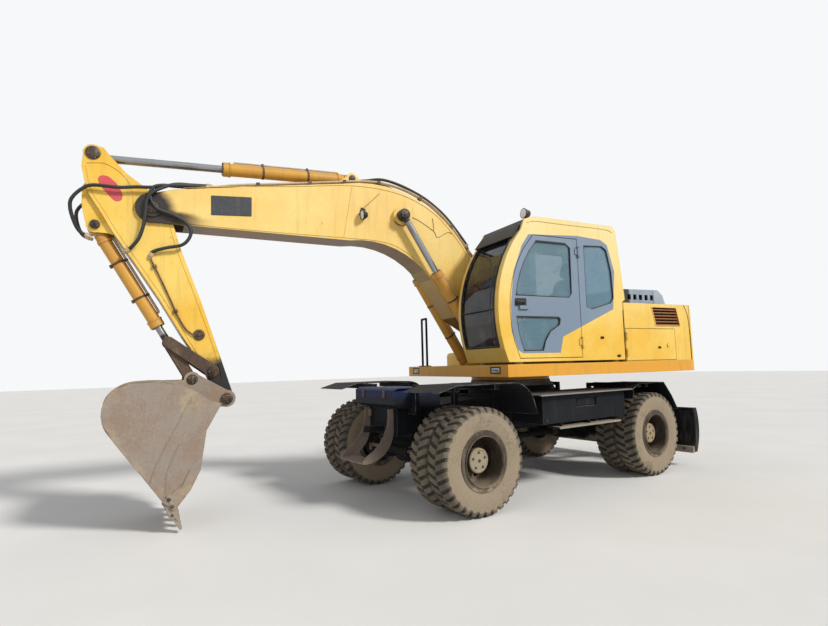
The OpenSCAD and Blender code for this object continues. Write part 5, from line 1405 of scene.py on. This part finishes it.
# Chassis
@dataclass
class Chassis:
    """Step grips and sheets, shaft joints, axle hoses, the blade's edge and the tool lid."""

    step_y: float = 1155.0
    grip_y: float = 930.0
    blade_half: float = 1224.0

    def build(self, shop: Workshop) -> None:
        """Everything that is fixed to the chassis or the blade."""
        for part in (self.steps, self.shafts, self.blade, self.lid):
            part(shop)

    def steps(self, shop: Workshop) -> None:
        """Thin sheets with raised bars on the boxes and the step bars, and box bolts."""
        treads = Surface()
        for side in SIDES:
            y = side * self.step_y
            treads.block([-622, y - 67, 747], [496, y + 67, 751], 1.5, use=2)
            for x0, x1, y0, y1, z0, z1, use in ((-622, 496, 1219, 1223, 729, 750, 2),
                                                (-858, 801, 640, 1247, 1108, 1112, 1),
                                                (-858, 801, 1247, 1251, 1098, 1111, 1)):
                low, high = sorted((side * y0, side * y1))
                treads.block([x0, low, z0], [x1, high, z1], 1.5, use=use)
            for x in np.arange(-590, 480, 44.0):
                treads.block([x, y - 52, 749], [x + 22, y + 52, 755], 2, use=2)
            y = side * self.grip_y
            for x in np.arange(-830, 790, 60.0):
                treads.block([x, y - 260, 1110], [x + 16, y + 260, 1115], 2, use=1)
            box = oblong(-200, 960, 100, 1030, 10, 3)
            treads.plate(box, *sorted((side * 1150, side * 1156)), 2)
            for x in (-760, 640):
                treads.bolts([[x, side * 1170, 830], [x, side * 1170, 1060]], (0, side, 0), 11,
                             9)
        shop.piece("step_grips", treads, CHASSIS, ("step_black", "tread_plate", "bar_dusty"),
                   "chassis")

    def shafts(self, shop: Workshop) -> None:
        """Joints of the drive shaft, and two hoses to the front axle."""
        shaft = Surface()
        for x in (1400, -840):
            shaft.turned([(0, 40), (0, 62), (14, 62), (20, 50), (60, 50), (66, 62), (80, 62),
                          (80, 40)], [x, 0, 500], (1, 0, 0), 28, closed=True)
        for side in SIDES:
            path = [[x, side * y, z] for x, y, z in ((1660, 60, 640), (1700, 150, 700),
                                                     (1740, 300, 690), (1790, 420, 620),
                                                     (1812, 210, 560))]
            shaft.tube(smooth(path), 11, 10, (0, 0, 1), use=1)
        shop.piece("driveline_joints", shaft, CHASSIS, ("cast_rusty", "hose_rubber"), "chassis")

    def blade(self, shop: Workshop) -> None:
        """The blade's bolted cutting edge."""
        section = rounded([(-2262, 172), (-2222, 172), (-2218, 184), (-2238, 258),
                           (-2262, 262)], 5, 2)
        edge = Surface().plate(section, -self.blade_half, self.blade_half, 3)
        edge.bolts([[-2222, y, 222] for y in range(-1100, 1101, 200)], (1, 0, 0.2), 14, 8, use=1)
        shop.piece("blade_cutting_edge", edge, CHASSIS, ("bucket_steel", "cast_rusty"), "blade")

    def lid(self, shop: Workshop) -> None:
        """The toolbox's lid with two latches."""
        section = rounded([(1560, 1216), (2070, 1226), (2122, 1203), (2122, 1190), (2060, 1212),
                           (1560, 1203)], 5, 2)
        lid = Surface().plate(section, -404, 404, 4)
        for y in (-220, 220):
            lid.block([2122, y - 22, 1120], [2134, y + 22, 1196], 4, use=1)
        shop.piece("toolbox_lid", lid, CHASSIS, ("toolbox_blue", "cast_rusty"), "chassis")


# Studio
@dataclass(frozen=True)
class Studio:
    """Pale floor, soft lights, plain background and the photo's camera."""

    eye: tuple[float, float, float] = (3.9663, 5.0927, 1.4538)
    lens: float = 23.30
    yaw: float = 4.0976
    pitch: float = -0.0988
    roll: float = -0.025
    aim: tuple[float, float, float] = (0.0, 0.0, 1.2)
    sheet: float = 60.0
    below: float = 0.004

    @staticmethod
    def put(name: str, data: Any, axes: Sequence[Points], eye: Sequence[float]) -> Any:
        """An object of the data in the scene, at the eye, with its own three axes."""
        made = bpy.data.objects.new(name, data)
        matrix = Matrix(np.stack(axes, 1).tolist()).to_4x4()
        matrix.translation = eye
        made.matrix_world = matrix
        bpy.context.scene.collection.objects.link(made)
        return made

    def camera(self) -> None:
        """Axes from yaw and pitch, then rolled about the line of sight."""
        look = np.array([math.cos(self.yaw) * math.cos(self.pitch),
                         math.sin(self.yaw) * math.cos(self.pitch), -math.sin(self.pitch)])
        right = np.array([math.sin(self.yaw), -math.cos(self.yaw), 0.0])
        up = np.cross(right, look)
        c, s = math.cos(self.roll), math.sin(self.roll)
        data = bpy.data.cameras.new("camera")
        data.lens, data.sensor_width, data.clip_end = self.lens, 36.0, 200.0
        bpy.context.scene.camera = self.put("camera", data, [c * right + s * up,
                                                             -s * right + c * up, -look],
                                            self.eye)

    def lights(self) -> None:
        """A soft sun from the left rear and a faint fill by the camera, aimed by their axes."""
        for name, kind, place, power, tone, soft, width in (
                ("sun", "SUN", (-3.5, 7.5, 7.2), 2.8, (1.0, 0.975, 0.93), "angle",
                 math.radians(11.0)),
                ("fill", "AREA", (11.0, 6.0, 5.0), 170.0, (0.94, 0.97, 1.0), "size", 8.0)):
            data = bpy.data.lights.new(name, kind)
            data.energy, data.color = power, tone
            setattr(data, soft, width)
            way = np.subtract(self.aim, place)
            way /= np.linalg.norm(way)
            side = np.cross(way, [0, 0, 1.0])
            side /= np.linalg.norm(side)
            self.put(name, data, [side, np.cross(side, way), -way], place)

    def world(self) -> None:
        """An even sky for light, and a pale one for eyes, mirrors and glass."""
        world = bpy.data.worlds.new("studio")
        world.use_nodes = True
        tree = world.node_tree
        tree.nodes.clear()
        path = tree.nodes.new("ShaderNodeLightPath")
        seen = path.outputs["Is Camera Ray"]
        for name in ("Is Glossy Ray", "Is Transmission Ray"):
            most = tree.nodes.new("ShaderNodeMath")
            most.operation = "MAXIMUM"
            tree.links.new(seen, most.inputs[0])
            tree.links.new(path.outputs[name], most.inputs[1])
            seen = most.outputs[0]
        mix = tree.nodes.new("ShaderNodeMixShader")
        tree.links.new(seen, mix.inputs[0])
        for slot, tone, strength in ((1, (0.93, 0.96, 1.0, 1), 0.38),
                                     (2, (0.93, 0.94, 0.95, 1), 1.0)):
            sky = tree.nodes.new("ShaderNodeBackground")
            sky.inputs["Color"].default_value = tone
            sky.inputs["Strength"].default_value = strength
            tree.links.new(sky.outputs[0], mix.inputs[slot])
        out = tree.nodes.new("ShaderNodeOutputWorld")
        tree.links.new(mix.outputs[0], out.inputs[0])
        bpy.context.scene.world = world

    def floor(self) -> None:
        """A wide level sheet just under the wheels, with a faint grain."""
        g = Graph("studio_floor")
        p = g.coords()
        tone = g.mix(g.noise(p, 0.6, 3).ramp(0.3, 0.7), (0.80, 0.79, 0.77, 1),
                     (0.84, 0.83, 0.81, 1))
        mesh = bpy.data.meshes.new("floor")
        a = np.linspace(-self.sheet, self.sheet, 13)
        x, y = np.meshgrid(a, a, indexing="ij")
        points = np.stack([x, y, np.full_like(x, CAD_BOX[0][2] - self.below)], -1)
        index = np.arange(x.size).reshape(x.shape)
        quads = np.stack([index[:-1, :-1], index[1:, :-1], index[1:, 1:], index[:-1, 1:]], -1)
        mesh.from_pydata(points.reshape(-1, 3).tolist(), [], quads.reshape(-1, 4).tolist())
        mesh.materials.append(g.finish(tone, 0.9 + g.noise(p, 3, 2) * 0.05))
        made = bpy.data.objects.new("floor", mesh)
        bpy.context.scene.collection.objects.link(made)

    def build(self) -> None:
        """Camera first, then light and floor."""
        self.camera()
        self.lights()
        self.world()
        self.floor()
        bpy.context.scene.view_settings.view_transform = "Standard"


NODE_FINISHES = {
    "chassis_black": "chassis_frame front_axle rear_axle side_boxes knuckle_left knuckle_right",
    "fender_black": "fenders",
    "step_worn": "front_step",
    "step_black": "blade_barrels handrails",
    "blade_black": "blade",
    "ring_steel": "slew_ring steer_rod",
    "toolbox_blue": "front_toolbox",
    "tyre_rubber": "tyres_front_left tyres_front_right tyres_rear_left tyres_rear_right",
    "rim_paint": "rims_front_left rims_front_right rims_rear_left rims_rear_right",
    "deck_yellow": "upper_frame counterweight tank_box",
    "house_paint": "engine_housing side_door_left side_door_right",
    "cast_rusty": "engine_block rocker link",
    "cowl_grey": "hood_lid",
    "cab_paint": "cab_shell cab_door",
    "windscreen_tint": "cab_glass",
    "side_tint": "door_glass",
    "cab_plastic": "cab_interior",
    "greasy_iron": "lamps",
    "boom_paint": "boom",
    "pipe_steel": "boom_pipes",
    "cylinder_paint": "boom_barrels arm_barrel bucket_barrel",
    "rod_chrome": "boom_rods arm_rod bucket_rod blade_rods",
    "arm_paint": "arm",
    "bucket_steel": "bucket",
}


def main() -> None:
    """Camera and light, finishes on the CAD nodes, then each sub-assembly's pieces."""
    Studio().build()
    shop = Workshop({finish.name: finish.material() for finish in FINISHES})
    for finish, nodes in NODE_FINISHES.items():
        for node in nodes.split():
            shop.coat_node(node, finish)
    for assembly in (Wheels(), WorkingGear(), Cab(), House(), Chassis()):
        assembly.build(shop)
        LOG.info("%s done", type(assembly).__name__)


if __name__ == "__main__":
    logging.basicConfig(level=logging.INFO)
    main()
